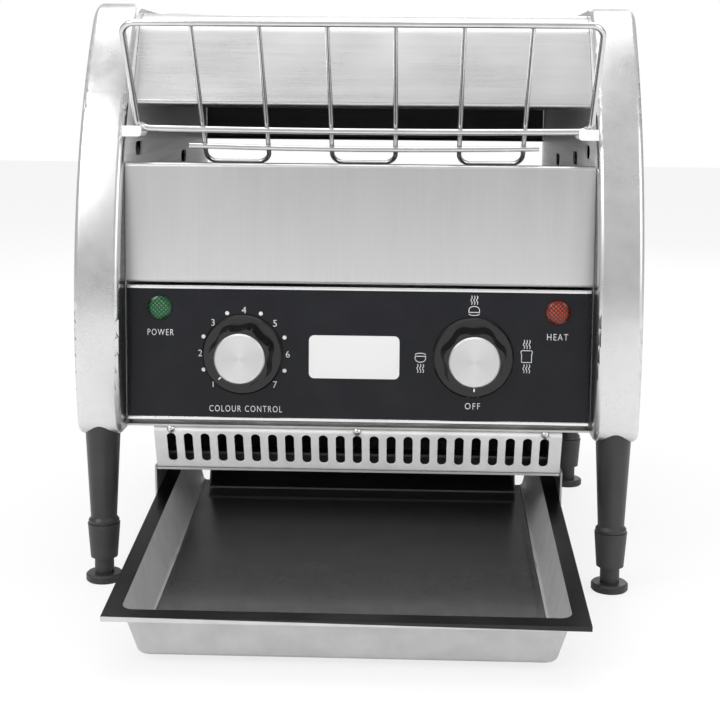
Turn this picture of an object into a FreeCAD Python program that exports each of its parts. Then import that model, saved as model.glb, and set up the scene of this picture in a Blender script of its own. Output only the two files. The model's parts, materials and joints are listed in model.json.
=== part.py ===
"""Countertop conveyor toaster with a wire loading rack and a slide-out toast tray.

Millimetres. The model is laid out from the middle of the front panel's face: X to the right,
Y into the depth, Z up from the worktop. At export everything is shifted along Y, so that the
origin lies under the middle of the whole toaster, on the worktop.
"""
import FreeCAD
import Part
import math
import os
from FreeCAD import Vector

# Overall form
BODY_HALF = 154.5          # centre to the inner face of each side housing
HOUSING_WIDTH = 29.5       # width of each side housing
HOUSING_BOTTOM = 101.0
BODY_TOP = 388.0
CHEEK_BASE_DEPTH = -17.0   # depth of the cheek's front edge at its foot
CHEEK_BULGE_DEPTH = -25.0  # the most forward point of the cheek
CHEEK_BULGE_HEIGHT = 190.0
CHEEK_TOP_DEPTH = 52.0     # where the front curve meets the top line
CHEEK_FOOT_RADIUS = 12.0
CHEEK_CROWN_RADIUS = 34.0
CHEEK_REAR_RADIUS = 24.0
COVER_EDGE_RADIUS = 4.0
COVER_LIP = 7.0            # width of the cover's return lip round the inner plate
SHEET = 1.5                # gauge of plates, covers and panels
THIN_SHEET = 1.2           # gauge of liners, slides, hood and tray
BEND = 1.5                 # inner bend radius of folded sheet
SEAT = 0.3                 # clearance between pieces that seat on each other
PANEL_GAP = 0.3            # side clearance of the panels between the housings

# Front, from the bottom up
CHASSIS_TOP = 105.9
CHASSIS_GAUGE = 1.3
TRIM_LOW = 109.0
TRIM_BAR = 2.4
PLATE_HEIGHT = 86.0        # visible height of the dark control plate
PLATE_GAUGE = 1.8
PANEL_REVEAL = 1.4         # dark joint between the upper trim and the front panel
PANEL_HEIGHT = 79.7
PANEL_RETURN = 9.0
PANEL_SIDE_RETURN = 14.0
CONTROL_PANEL_FLANGE = 12.0
TRIM_RISE = 0.7            # trim bars in front of the dark plate
TRIM_EDGE = 0.6

# Controls
KNOB_X = 76.5
KNOB_DROP = 43.3           # from the top of the dark plate down to the knob axis
LAMP_X = 131.5
LAMP_DROP = 12.4
KNOB_SKIRT_RADIUS = 26.8
KNOB_SKIRT_GAUGE = 3.0
KNOB_GRIP_RADIUS = 21.4
KNOB_WAVE = 1.1            # height of the finger waves round the grip
KNOB_WAVES = 7
KNOB_DEPTH = 17.5
KNOB_CAP_RADIUS = 17.0
KNOB_CAP_GAUGE = 1.6
KNOB_SKIRT_BEVEL = 1.2
KNOB_DRAFT = 2.4
KNOB_BORE = 12.0           # bottom of the knob's bore, in front of the panel
KNOB_GAP = 0.6             # knob skirt to dark plate
POINTER_WIDTH = 1.3
POINTER_RISE = 0.3
POINTER_REACH = 2.2        # pointer rib past the edge of the cap
CONTROL_SHAFT_RADIUS = 3.0
CONTROL_SHAFT_FIT = 0.05
CONTROL_HOLE_RADIUS = 4.2
SWITCH_WIDTH = 42.0
SWITCH_DEPTH = 26.0
SPEED_CAN_RADIUS = 14.0
SPEED_CAN_DEPTH = 15.0
SPEED_TAG_HALF = 9.0
SWITCH_CORNER = 2.0
CONTROL_SHAFT_TAIL = 10.0
DIAL_START = -135.0        # pointer angle of the toast control, from straight up
SWITCH_START = 180.0       # pointer angle of the mode switch, from straight up
LAMP_RADIUS = 8.2
LAMP_RISE = 2.6
LAMP_BODY_RADIUS = 6.4
LAMP_BODY_DEPTH = 24.0
BADGE_WIDTH = 60.0
BADGE_HEIGHT = 28.8
BADGE_GAUGE = 1.0
BADGE_CORNER = 3.5
BADGE_DROP = 44.2
BADGE_X = -2.3

# Vent grille and lower compartment
GRILLE_HALF = 136.5
GRILLE_DROP = 31.8
GRILLE_SETBACK = 14.0
SLOT_COUNT = 23
SLOT_PITCH = 11.38
SLOT_WIDTH = 6.2
SLOT_LENGTH = 24.0
SLOT_FROM_TOP = 5.8        # along the slope, from the top bend to the slots
GRILLE_SCREW_DROP = 3.0
GRILLE_SCREW_GRIP = 3.0
GRILLE_LIP = 10.0
PAN_SLOT_COUNT = 22
PAN_SLOT_PITCH = 10.6
PAN_SLOT_LENGTH = 14.0
PAN_SLOT_DEPTH = 26.0      # middle of the front row of floor slots
PAN_SLOT_STEP = 22.0
RAIL_DEPTH = 19.5
RAIL_RISE = 10.0           # top of the component rail above the pan's floor
RAIL_WIDTH = 16.0
GRILLE_SCREW_RADIUS = 2.7
COVER_SCREW_RADIUS = 3.6
SCREW_RISE = 1.5
SCREW_SHANK_RADIUS = 1.5
SCREW_HOLE_RADIUS = 1.8
SCREW_GRIP = 5.0

# Toasting tunnel
TUNNEL_BACK_GAP = 12.0     # chute guide to the back of the tunnel
HOUSING_BACK_GAP = 10.0    # back of the tunnel to the back of the housings
HOOD_LIP_DEPTH = 27.0
HOOD_LIP_HEIGHT = 319.0
HOOD_DROP = 6.0            # roof of the hood below the top of the side housings
HOOD_CROWN_DEPTH = 62.0
HOOD_CROWN_RADIUS = 26.0
HOOD_REAR_RADIUS = 22.0
LINTEL_HEIGHT = 286.0
REAR_OPENING = 24.0        # height of the opening under the lintel
LOUVRE_COUNT = 7
LOUVRE_PITCH = 26.0
LOUVRE_WIDTH = 6.0
LOUVRE_LENGTH = 110.0
LOUVRE_X = 72.0
HOOD_HEM = 8.0
REFLECTOR_FRONT = 72.0
REFLECTOR_REAR = 330.0
REFLECTOR_EDGE = 9.0
WALL_SLOT_LENGTH = 26.0
WALL_SLOT_HEIGHT = 9.6
FRONT_WALL_SLOT = (12.0, 48.3)    # depth behind the front shaft and height over it
MIDDLE_WALL_SLOT = (84.0, 41.4)
REAR_WALL_SLOT = (206.0, 35.2)
REFLECTOR_DROP = 24.0      # liner below the hood's roof
HEATER_RADIUS = 5.0
HEATER_FIRST = 95.0
HEATER_PITCH = 75.0
HEATER_COUNT = 3
UPPER_HEATER_HEIGHT = 343.0
HOLDER_RADIUS = 8.0
HOLDER_LENGTH = 8.0
HEATER_FIT = 0.1
HEATER_END_GAP = 3.0       # end of a tube to the inner plate

# Conveyor
FRONT_SHAFT_DEPTH = 40.0
REAR_SHAFT_DEPTH = 300.0
SHAFT_HEIGHT = 240.2
SHAFT_RADIUS = 5.0
SHAFT_FIT = 0.04
BELT_HALF = 144.0
BELT_PITCH_RADIUS = 16.7
BELT_ROD_RADIUS = 1.1
BELT_ROD_COUNT = 49
BELT_LANES = 5
BELT_LANE_REACH = 134.0    # centre to the outermost lane
BELT_LANE_WIDTH = 3.0
BELT_LANE_GAUGE = 1.4
SPROCKET_TEETH = 8
SPROCKET_GAUGE = 5.0
SPROCKET_COUNT = 3
SPROCKET_SPREAD = 103.0
BELT_CLEARANCE = 0.4       # sprocket tips to the inside of the belt
TOOTH_DEPTH = 4.0
BUSH_RADIUS = 8.0
BUSH_FLANGE_RADIUS = 11.0
BUSH_FLANGE_GAUGE = 2.0
BUSH_FIT = 0.05
BUSH_TAIL = 2.5            # how far a bush stands into the side housing
SHAFT_TAIL = 2.0
LOWER_REFLECTOR_DROP = 9.0
LOWER_REFLECTOR_INSET = 28.0
LOWER_REFLECTOR_EDGE = 5.0
LOWER_HEATER_LIFT = 2.8    # lower tubes above the shafts
SHIELD_DROP = 11.0         # heat shield below the returning belt
SHIELD_OVERHANG = 21.0     # shield's rear edge past the foot of the chute wall
SHIELD_START = 16.0
SHIELD_KNEE = 125.0

# Drive
MOTOR_DEPTH = 150.0
MOTOR_HEIGHT = 150.0
GEARBOX_SIZE = 62.0
GEARBOX_LENGTH = 28.0
MOTOR_RADIUS = 27.0
MOTOR_LENGTH = 62.0
CHAIN_PITCH = 9.525
MOTOR_TEETH = 10
DRIVE_TEETH = 20
CHAIN_HALF_HEIGHT = 2.6
CHAIN_WIDTH = 5.0
CHAIN_OFFSET = 9.0         # inner plate to the chain's near side
CHAIN_SPROCKET_GAUGE = 3.0
CHAIN_CLEARANCE = 0.4
CHAIN_TOOTH = 2.6
HUB_LENGTH = 6.0
HUB_RADIUS = 9.0
MOTOR_HUB_RADIUS = 7.0
MOTOR_SHAFT_RADIUS = 4.0
MOTOR_SHAFT_REACH = 16.0   # spindle inside the gearbox
GEARBOX_CORNER = 4.0

# Cooling fan
FAN_X = -66.0
FAN_DEPTH = 150.0
FAN_SIZE = 80.0
FAN_LENGTH = 25.0
FAN_BORE = 37.5
FAN_TIP_GAP = 1.0
FAN_HUB = 16.0
FAN_BLADES = 7
FAN_BLADE_GAUGE = 1.4
FAN_BLADE_ANGLE = 32.0
FAN_PIN_RADIUS = 2.0
FAN_PIN_FIT = 0.05
FAN_STATOR = 10.0
FAN_STRUT = 3.0
FAN_CORNER = 4.0

# Return slide and toast tray
GUIDE_DEPTH = 368.0
GUIDE_RADIUS = 100.0
SLIDE_REAR_HEIGHT = 44.0
CHUTE_LENGTH = 106.0       # foot of the chute wall to the guide
PAN_BACK_GAP = 7.0         # pan to the foot of the chute wall
SLIDE_FRONT_HEIGHT = 36.0
SLIDE_FRONT = 100.0
SLIDE_HALF = 114.0
TRAY_HALF = 137.5
TRAY_RIM = 8.5
TRAY_DRAFT = 7.5           # inward lean of the walls over their height
TRAY_PLATE_HALF = 114.5    # raised landing plate on the tray's floor
TRAY_PLATE_REAR = 80.0
TRAY_PLATE_GAP = 12.0
TRAY_WALL = 31.0
TRAY_RIM_HEIGHT = 51.7     # height of the rim below the front panel's face
TRAY_SLOPE = 6.28          # degrees, down towards the front
TRAY_REACH = 165.0
TRAY_TAIL = 122.0
TRAY_HEM = 3.0
RUNNER_LIP = 7.0
RUNNER_LENGTH = 96.0
RUNNER_FLANGE = 14.0
PAN_RAIL_START = 20.0      # front end of the runners
TRAY_CORNER = 8.0
TRAY_FOOT_RADIUS = 4.0

# Loading rack
RACK_LEAN = 39.0           # degrees from the vertical
RACK_BAR_HEIGHT = 303.4
RACK_BAR_DEPTH = -2.6
RACK_BAR_RADIUS = 2.1
RACK_BOW = 2.6             # sag of the bars towards the middle
RACK_BOW_SHARE = 0.85      # share of the bar that the bow takes
RACK_HALF = 147.0
RACK_SHIFT = 2.5           # the rack sits a little to the right on its brackets
RACK_RISE = 84.0           # from the lower to the upper bar, along the slope
RACK_WIRE_RADIUS = 1.5
RACK_WIRE_PITCH = 42.0
RACK_WIRE_COUNT = 6
RACK_TAIL = 31.0           # from the bar down to the U bends, along the slope
RACK_BEND = 8.0
RACK_TIE_RADIUS = 1.7
RACK_TIE_HALF = 115.0
RACK_TIE_DROP = 15.0
RACK_WELD = 0.5
BRACKET_REACH = 13.0
BRACKET_GAUGE = 3.0
BRACKET_FRONT = -9.0
BRACKET_REAR = 12.0
BRACKET_LIP = 4.0
BRACKET_ROOT = 4.3

# Legs
LEG_X = 169.2
LEG_FRONT = -6.0
LEG_WHEELBASE = 261.0
LEG_TOP_RADIUS = 11.5
LEG_LOW_RADIUS = 8.7
LEG_JOINT_HEIGHT = 40.0
LEG_COLLAR_RADIUS = 10.2
LEG_COLLAR_HEIGHT = 3.0
LEG_HOLE_GAP = 0.5
FOOT_TOP_RADIUS = 10.8
FOOT_LOW_RADIUS = 9.0
FOOT_SLEEVE_HEIGHT = 16.5
FOOT_NECK_RADIUS = 6.4
FOOT_DISC_RADIUS = 12.2
FOOT_DISC_HEIGHT = 5.5
FOOT_STUD_RADIUS = 5.0
FOOT_STUD_FIT = 0.06
FOOT_STUD_LENGTH = 32.0

# Rear and wiring
GLAND_X = -122.0
GLAND_HEIGHT = 128.0
GLAND_RADIUS = 10.0
GLAND_LENGTH = 13.0
GLAND_BORE = 4.5
GLAND_SPIGOT_RADIUS = 7.0
REAR_SLOT_HEIGHT = 185.0
REAR_SLOT_COUNT = 9
REAR_SLOT_PITCH = 20.0
REAR_SLOT_LENGTH = 50.0
REAR_SLOT_WIDTH = 5.0

# Values that follow from those above
SLIDE_REAR = GUIDE_DEPTH - CHUTE_LENGTH
TUNNEL_REAR = GUIDE_DEPTH + TUNNEL_BACK_GAP
BODY_REAR = TUNNEL_REAR + HOUSING_BACK_GAP
PAN_REAR = SLIDE_REAR - PAN_BACK_GAP
SHIELD_REAR = SLIDE_REAR + SHIELD_OVERHANG
SILL_HEIGHT = LINTEL_HEIGHT - REAR_OPENING
HOUSING_OUTER = BODY_HALF + HOUSING_WIDTH
PANEL_HALF = BODY_HALF - PANEL_GAP
PLATE_LOW = TRIM_LOW + TRIM_BAR
PLATE_TOP = PLATE_LOW + PLATE_HEIGHT
TRIM_TOP = PLATE_TOP + TRIM_BAR
PANEL_LOW = TRIM_TOP + PANEL_REVEAL
PANEL_TOP = PANEL_LOW + PANEL_HEIGHT
CONTROL_BACK = PLATE_GAUGE + SHEET
CHAIN_X = BODY_HALF + SHEET + CHAIN_OFFSET
KNOB_HEIGHT = PLATE_TOP - KNOB_DROP
LAMP_HEIGHT = PLATE_TOP - LAMP_DROP
GRILLE_TOP = CHASSIS_TOP - CHASSIS_GAUGE
PAN_FLOOR = GRILLE_TOP - GRILLE_DROP
PAN_BOTTOM = PAN_FLOOR - SHEET
PAN_TOP = GRILLE_TOP
ROOF = BODY_TOP - HOOD_DROP
REFLECTOR_HEIGHT = ROOF - REFLECTOR_DROP
LEG_TOP = HOUSING_BOTTOM + COVER_LIP + SEAT
BELT_BOTTOM = SHAFT_HEIGHT - BELT_PITCH_RADIUS - BELT_ROD_RADIUS
LOWER_HEATER_HEIGHT = SHAFT_HEIGHT + LOWER_HEATER_LIFT
SHIELD_HEIGHT = BELT_BOTTOM - SHIELD_DROP
LEG_REAR = LEG_FRONT + LEG_WHEELBASE
REAR_FACE = TUNNEL_REAR + THIN_SHEET
GLAND_END = REAR_FACE + GLAND_LENGTH
FRONT_END = -TRAY_REACH
REAR_END = max(GLAND_END, BODY_REAR)
ORIGIN_DEPTH = (FRONT_END + REAR_END) / 2


def save(shape, name):
    """Write one named piece, moved into the toaster's own frame."""
    placed = shape.copy()
    placed.translate(Vector(0, -ORIGIN_DEPTH, 0))
    placed.exportStep("parts/" + name + ".step")


def box(x0, x1, y0, y1, z0, z1):
    """A block between two corners."""
    return Part.makeBox(x1 - x0, y1 - y0, z1 - z0, Vector(x0, y0, z0))


def rod_x(radius, x0, x1, depth, height):
    """A cylinder along X."""
    return Part.makeCylinder(radius, x1 - x0, Vector(x0, depth, height), Vector(1, 0, 0))


def rod_y(radius, y0, y1, x, height):
    """A cylinder along Y."""
    return Part.makeCylinder(radius, y1 - y0, Vector(x, y0, height), Vector(0, 1, 0))


def rod_z(radius, z0, z1, x, depth):
    """A cylinder along Z."""
    return Part.makeCylinder(radius, z1 - z0, Vector(x, depth, z0))


def joined(shapes):
    """One solid from touching or overlapping pieces."""
    result = shapes[0]
    if len(shapes) > 1:
        result = result.multiFuse(shapes[1:])
    return result.removeSplitter()


def group(shapes):
    """Separate solids kept in one node."""
    return Part.makeCompound(shapes)


def mirrored(shape):
    """The same piece on the other side of the toaster."""
    return shape.mirror(Vector(0, 0, 0), Vector(1, 0, 0))


def corner_arc(before, corner, after, radius):
    """Start, middle and end of the arc that rounds one corner."""
    back = (before - corner).normalize()
    ahead = (after - corner).normalize()
    half = back.getAngle(ahead) / 2
    reach = radius / math.tan(half)
    middle = (back + ahead).normalize()
    centre = corner + middle * (radius / math.sin(half))
    return corner + back * reach, centre - middle * radius, corner + ahead * reach


def rounded_edges(points, radii, closed):
    """Lines and tangent arcs through points, with a radius at each corner."""
    count = len(points)
    edges = []
    start = points[0]
    cursor = None
    for index in range(count):
        inner = closed or 0 < index < count - 1
        here = points[index]
        if inner and radii[index] > 0:
            a, m, b = corner_arc(points[index - 1], here, points[(index + 1) % count], radii[index])
        else:
            a, m, b = here, None, here
        if cursor is None:
            start = a
        elif (a - cursor).Length > 1e-6:
            edges.append(Part.LineSegment(cursor, a).toShape())
        if m is not None:
            edges.append(Part.Arc(a, m, b).toShape())
        cursor = b
    if closed and (start - cursor).Length > 1e-6:
        edges.append(Part.LineSegment(cursor, start).toShape())
    return edges


def profile(points):
    """A closed outline across the toaster from (depth, height, corner radius) points."""
    corners = [Vector(0, p[0], p[1]) for p in points]
    return Part.Wire(rounded_edges(corners, [p[2] for p in points], True))


def swept_x(wire, x0, x1):
    """An outline in the depth and height plane, drawn out along X."""
    face = Part.Face(wire)
    face.translate(Vector(x0, 0, 0))
    return face.extrude(Vector(x1 - x0, 0, 0))


def folded(points, gauge, x0, x1):
    """Sheet folded along an open path of (depth, height, inner bend radius) points.

    The material lies to the left of the path, seen with +Y to the right and +Z up.
    """
    count = len(points)
    flat = [(p[0], p[1]) for p in points]
    normals = []
    for index in range(count - 1):
        run = flat[index + 1][0] - flat[index][0]
        rise = flat[index + 1][1] - flat[index][1]
        length = math.hypot(run, rise)
        normals.append((-rise / length, run / length))
    near = []
    far = []
    for index in range(count):
        first = normals[max(index - 1, 0)]
        second = normals[min(index, count - 2)]
        turn = first[0] * second[1] - first[1] * second[0]
        spread = 1 + first[0] * second[0] + first[1] * second[1]
        off = ((first[0] + second[0]) / spread * gauge, (first[1] + second[1]) / spread * gauge)
        bend = points[index][2]
        inner = 0 < index < count - 1 and bend > 0
        near_radius = (bend + gauge if turn > 0 else bend) if inner else 0
        far_radius = (bend if turn > 0 else bend + gauge) if inner else 0
        near.append((flat[index][0], flat[index][1], near_radius))
        far.append((flat[index][0] + off[0], flat[index][1] + off[1], far_radius))
    return swept_x(profile(near + far[::-1]), x0, x1)


def slot_solid(centre, along, across, length, width, depth):
    """A round-ended cutter: long way along one direction, cutting along across."""
    side = along.cross(across).normalize() * (width / 2)
    reach = along * ((length - width) / 2)
    tip = along * (length / 2)
    a = centre - reach + side
    b = centre + reach + side
    c = centre + reach - side
    d = centre - reach - side
    edges = [
        Part.LineSegment(a, b).toShape(),
        Part.Arc(b, centre + tip, c).toShape(),
        Part.LineSegment(c, d).toShape(),
        Part.Arc(d, centre - tip, a).toShape(),
    ]
    face = Part.Face(Part.Wire(edges))
    face.translate(across * (-depth / 2))
    return face.extrude(across * depth)


def bent_wire(points, radius, bend):
    """Round wire bent through points in space."""
    radii = [bend] * len(points)
    path = Part.Wire(rounded_edges(points, radii, False))
    start = (points[1] - points[0]).normalize()
    ring = Part.Wire(Part.Circle(points[0], start, radius).toShape())
    return path.makePipeShell([ring], True, True)


def turned(points, x, depth):
    """A turned piece about an upright axis, from (radius, height) points."""
    corners = [Vector(p[0], 0, p[1]) for p in points]
    face = Part.Face(Part.makePolygon(corners + [corners[0]]))
    solid = face.revolve(Vector(0, 0, 0), Vector(0, 0, 1), 360)
    solid.translate(Vector(x, depth, 0))
    return solid


def housing_outline(inset, foot):
    """Side view of a side housing, drawn in by an even inset."""
    low = HOUSING_BOTTOM + inset
    top = BODY_TOP - inset
    rear = BODY_REAR - inset
    span = top - low
    curve = []
    a = Vector(0, CHEEK_BASE_DEPTH + inset, low)
    m = Vector(0, CHEEK_BULGE_DEPTH + inset, CHEEK_BULGE_HEIGHT)
    b = Vector(0, CHEEK_TOP_DEPTH + inset * span / BODY_TOP, top)
    front = Part.Arc(a, m, b).toShape()
    curve.append(front)
    curve.append(Part.LineSegment(b, Vector(0, rear, top)).toShape())
    curve.append(Part.LineSegment(Vector(0, rear, top), Vector(0, rear, low)).toShape())
    curve.append(Part.LineSegment(Vector(0, rear, low), a).toShape())
    solid = Part.Face(Part.Wire(curve)).extrude(Vector(1, 0, 0))
    radii = (
        (a, foot - inset / 2),
        (b, CHEEK_CROWN_RADIUS - inset / 2),
        (Vector(0, rear, top), CHEEK_REAR_RADIUS - inset / 2),
        (Vector(0, rear, low), foot - inset / 2),
    )
    for corner, radius in radii:
        for edge in solid.Edges:
            across = len(edge.Vertexes) == 2 and edge.BoundBox.XLength > 0.9
            if across and abs(edge.BoundBox.YMin - corner.y) + abs(edge.BoundBox.ZMin - corner.z) < 0.01:
                solid = solid.makeFillet(radius, [edge])
                break
    for face in solid.Faces:
        if face.BoundBox.XMax < 1e-6:
            return face.OuterWire
    return None


def right_cover():
    """Deep side cover: a rounded pressing with a return lip, open towards the inner plate."""
    shell = swept_x(housing_outline(0, CHEEK_FOOT_RADIUS), BODY_HALF, HOUSING_OUTER)
    rim = [e for e in shell.Edges if e.BoundBox.XLength < 1e-6]
    shell = shell.makeFillet(COVER_EDGE_RADIUS, rim)
    hollow = swept_x(housing_outline(SHEET, CHEEK_FOOT_RADIUS), BODY_HALF + SHEET, HOUSING_OUTER - SHEET)
    mouth = swept_x(housing_outline(COVER_LIP, CHEEK_FOOT_RADIUS), BODY_HALF - 1, BODY_HALF + SHEET)
    shell = shell.cut(hollow).cut(mouth)
    for depth in (LEG_FRONT, LEG_REAR):
        hole = rod_z(LEG_TOP_RADIUS + LEG_HOLE_GAP, HOUSING_BOTTOM - 1, LEG_TOP + SEAT, LEG_X, depth)
        shell = shell.cut(hole)
    for depth, height in cover_screw_places():
        hole = rod_x(SCREW_HOLE_RADIUS, HOUSING_OUTER - 2 * SHEET, HOUSING_OUTER + 1, depth, height)
        shell = shell.cut(hole)
    return shell


def plate_holes(right):
    """Cutters for one inner plate: bush seats, slots and, on the right, the drive opening."""
    cutters = []
    for depth in (FRONT_SHAFT_DEPTH, REAR_SHAFT_DEPTH):
        cutters.append(rod_x(BUSH_RADIUS, BODY_HALF - 1, BODY_HALF + SHEET + 1, depth, SHAFT_HEIGHT))
    places = [FRONT_WALL_SLOT, REAR_WALL_SLOT]
    if right:
        places.append(MIDDLE_WALL_SLOT)
        cutters.append(rod_x(MOTOR_HUB_RADIUS + 1, BODY_HALF - 1, BODY_HALF + SHEET + 1,
                             MOTOR_DEPTH, MOTOR_HEIGHT))
    for back, up in places:
        centre = Vector(BODY_HALF + SHEET / 2, FRONT_SHAFT_DEPTH + back, SHAFT_HEIGHT + up)
        cutters.append(slot_solid(centre, Vector(0, 1, 0), Vector(1, 0, 0),
                                  WALL_SLOT_LENGTH, WALL_SLOT_HEIGHT, 4 * SHEET))
    return cutters


def rack_bracket():
    """Ledge folded out of an inner plate that carries one end of the rack's low bar."""
    top = RACK_BAR_HEIGHT - RACK_BAR_RADIUS - SEAT
    low = top - BRACKET_GAUGE
    inner = BODY_HALF - BRACKET_REACH
    near = BODY_HALF - SEAT
    ledge = box(inner, near, BRACKET_FRONT, BRACKET_REAR, low, top)
    root = box(near, BODY_HALF + SHEET / 2, BRACKET_REAR - BRACKET_ROOT, BRACKET_REAR, low, top)
    lip = box(inner, near, BRACKET_FRONT, BRACKET_FRONT + SHEET, low, top + BRACKET_LIP)
    bracket = joined([ledge, lip, root])
    rounded = [e for e in bracket.Edges if e.BoundBox.YLength > BRACKET_REAR
               and e.BoundBox.XMax < inner + 0.01 and e.BoundBox.ZMax < low + 0.01]
    return bracket.makeFillet(BRACKET_GAUGE * 0.8, rounded)


def inner_plate(right):
    """Plate that closes a side housing and forms the wall of the tunnel."""
    inset = COVER_LIP + SEAT
    plate = swept_x(housing_outline(inset, CHEEK_FOOT_RADIUS), BODY_HALF, BODY_HALF + SHEET)
    low = HOUSING_BOTTOM + inset
    flange = box(BODY_HALF, HOUSING_OUTER - SHEET - 2, LEG_FRONT + LEG_TOP_RADIUS / 2 + 1,
                 LEG_REAR + LEG_TOP_RADIUS + 8, low, low + SHEET)
    plate = joined([plate, flange, rack_bracket()])
    for cutter in plate_holes(right):
        plate = plate.cut(cutter)
    return plate


def chassis_plate():
    """Floor frame between the side housings, with openings for the pan and the chute."""
    floor = box(-PANEL_HALF, PANEL_HALF, 0, TUNNEL_REAR, GRILLE_TOP, CHASSIS_TOP)
    pieces = [floor]
    for side in (-1, 1):
        inner = side * (BODY_HALF - SEAT)
        outer = side * (BODY_HALF - SEAT - SHEET)
        pieces.append(box(min(inner, outer), max(inner, outer), PLATE_GAUGE + 2 * CONTROL_PANEL_FLANGE,
                          PAN_REAR, GRILLE_TOP, CHASSIS_TOP + 12))
    frame = joined(pieces)
    pan_mouth = box(-GRILLE_HALF + 6, GRILLE_HALF - 6, 18, PAN_REAR - 10, GRILLE_TOP - 1, CHASSIS_TOP + 1)
    chute = box(-GRILLE_HALF - SEAT, GRILLE_HALF + SEAT, SLIDE_REAR - SEAT,
                GUIDE_DEPTH + THIN_SHEET + SEAT, GRILLE_TOP - 1, CHASSIS_TOP + 1)
    return frame.cut(pan_mouth).cut(chute)


def front_panel():
    """Brushed panel above the controls, folded back along its top, bottom and sides."""
    panel = folded([(PANEL_RETURN, PANEL_TOP, 0), (0, PANEL_TOP, BEND), (0, PANEL_LOW, BEND),
                    (PANEL_RETURN, PANEL_LOW, 0)], SHEET, -PANEL_HALF, PANEL_HALF)
    inside = PANEL_HALF - SHEET
    ends = [box(inside, PANEL_HALF, SHEET / 2, PANEL_SIDE_RETURN, PANEL_LOW + SHEET, PANEL_TOP - SHEET)]
    ends.append(mirrored(ends[0]))
    return joined([panel] + ends)


def control_holes(depth0, depth1, shaft, lamp):
    """Cutters for the two spindles and the two lamps."""
    cutters = []
    for side in (-1, 1):
        cutters.append(rod_y(shaft, depth0, depth1, side * KNOB_X, KNOB_HEIGHT))
        cutters.append(rod_y(lamp, depth0, depth1, side * LAMP_X, LAMP_HEIGHT))
    return cutters


def control_plate():
    """Dark glossy plate that carries the scales."""
    plate = box(-PANEL_HALF + 1, PANEL_HALF - 1, 0, PLATE_GAUGE, PLATE_LOW + 0.05, PLATE_TOP - 0.05)
    for cutter in control_holes(-1, PLATE_GAUGE + 1, CONTROL_HOLE_RADIUS, LAMP_BODY_RADIUS + SEAT):
        plate = plate.cut(cutter)
    return plate


def control_panel():
    """Carrier behind the dark plate, with the bright trim bars above and below it."""
    half = PANEL_HALF - 1
    recess = PLATE_GAUGE + CONTROL_PANEL_FLANGE
    back = folded([(PLATE_GAUGE, TRIM_TOP, 0), (PLATE_GAUGE, TRIM_LOW, BEND / 2), (recess, TRIM_LOW, BEND / 2),
                   (recess, CHASSIS_TOP, 0)], SHEET, -half, half)
    bars = []
    for low in (TRIM_LOW, PLATE_TOP):
        bar = box(-half, half, -TRIM_RISE, PLATE_GAUGE + SHEET / 2, low, low + TRIM_BAR)
        front = [e for e in bar.Edges if e.BoundBox.YMax < -TRIM_RISE + 0.01 and e.BoundBox.XLength > half]
        bars.append(bar.makeFillet(TRIM_EDGE, front))
    carrier = joined([back] + bars)
    for cutter in control_holes(-1, PLATE_GAUGE + 2 * SHEET, CONTROL_HOLE_RADIUS, LAMP_BODY_RADIUS + SEAT):
        carrier = carrier.cut(cutter)
    return carrier


def badge_plate():
    """Blank raised plate between the knobs."""
    height = PLATE_TOP - BADGE_DROP
    plate = box(BADGE_X - BADGE_WIDTH / 2, BADGE_X + BADGE_WIDTH / 2, -BADGE_GAUGE, 0,
                height - BADGE_HEIGHT / 2, height + BADGE_HEIGHT / 2)
    corners = [e for e in plate.Edges if e.BoundBox.YLength > BADGE_GAUGE / 2]
    return plate.makeFillet(BADGE_CORNER, corners)


def grille_frame():
    """Origin, downhill direction and outward normal of the sloping grille face."""
    top = Vector(0, 0, GRILLE_TOP)
    foot = Vector(0, GRILLE_SETBACK, PAN_FLOOR)
    down = (foot - top).normalize()
    out = down.cross(Vector(1, 0, 0)).normalize()
    return top, down, out


def vent_grille():
    """Sloping front of the lower compartment with a row of round-ended slots."""
    sheet = folded([(GRILLE_LIP, GRILLE_TOP, 0), (0, GRILLE_TOP, BEND), (GRILLE_SETBACK, PAN_FLOOR, BEND),
                    (GRILLE_SETBACK + GRILLE_LIP, PAN_FLOOR, 0)], SHEET, -GRILLE_HALF, GRILLE_HALF)
    top, down, out = grille_frame()
    cutters = []
    for index in range(SLOT_COUNT):
        x = (index - (SLOT_COUNT - 1) / 2) * SLOT_PITCH
        centre = top + down * (SLOT_FROM_TOP + SLOT_LENGTH / 2) + Vector(x, 0, 0)
        cutters.append(slot_solid(centre, down, out, SLOT_LENGTH, SLOT_WIDTH, 4 * SHEET))
    for x in grille_screw_places():
        centre = top + down * GRILLE_SCREW_DROP + Vector(x, 0, 0)
        cutters.append(Part.makeCylinder(SCREW_HOLE_RADIUS, 2 * GRILLE_SCREW_GRIP + 1, centre - out * (GRILLE_SCREW_GRIP + 1), out))
    return sheet.cut(Part.makeCompound(cutters))


def grille_screw_places():
    """Across the grille: one screw at each end and one in the middle."""
    reach = (SLOT_COUNT - 1) / 2 * SLOT_PITCH
    return (-reach, 0, reach)


def screw(place, out, head_radius, grip):
    """Domed screw: a low head and a plain shank."""
    rise = SCREW_RISE
    ball = (head_radius * head_radius + rise * rise) / (2 * rise)
    dome = Part.makeSphere(ball, place + out * (rise - ball))
    slab = Part.makeCylinder(head_radius, rise + 1, place, out)
    shank = Part.makeCylinder(SCREW_SHANK_RADIUS, grip, place - out * grip, out)
    return joined([dome.common(slab), shank])


def grille_screws():
    """Three screws that hold the grille."""
    top, down, out = grille_frame()
    places = [top + down * GRILLE_SCREW_DROP + Vector(x, 0, 0) for x in grille_screw_places()]
    return group([screw(place, out, GRILLE_SCREW_RADIUS, GRILLE_SCREW_GRIP) for place in places])


def cover_screw_places():
    """Side view places of the screws in a side cover."""
    return ((30.0, 150.0), (350.0, 140.0), (350.0, 345.0), (95.0, 345.0))


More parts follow.
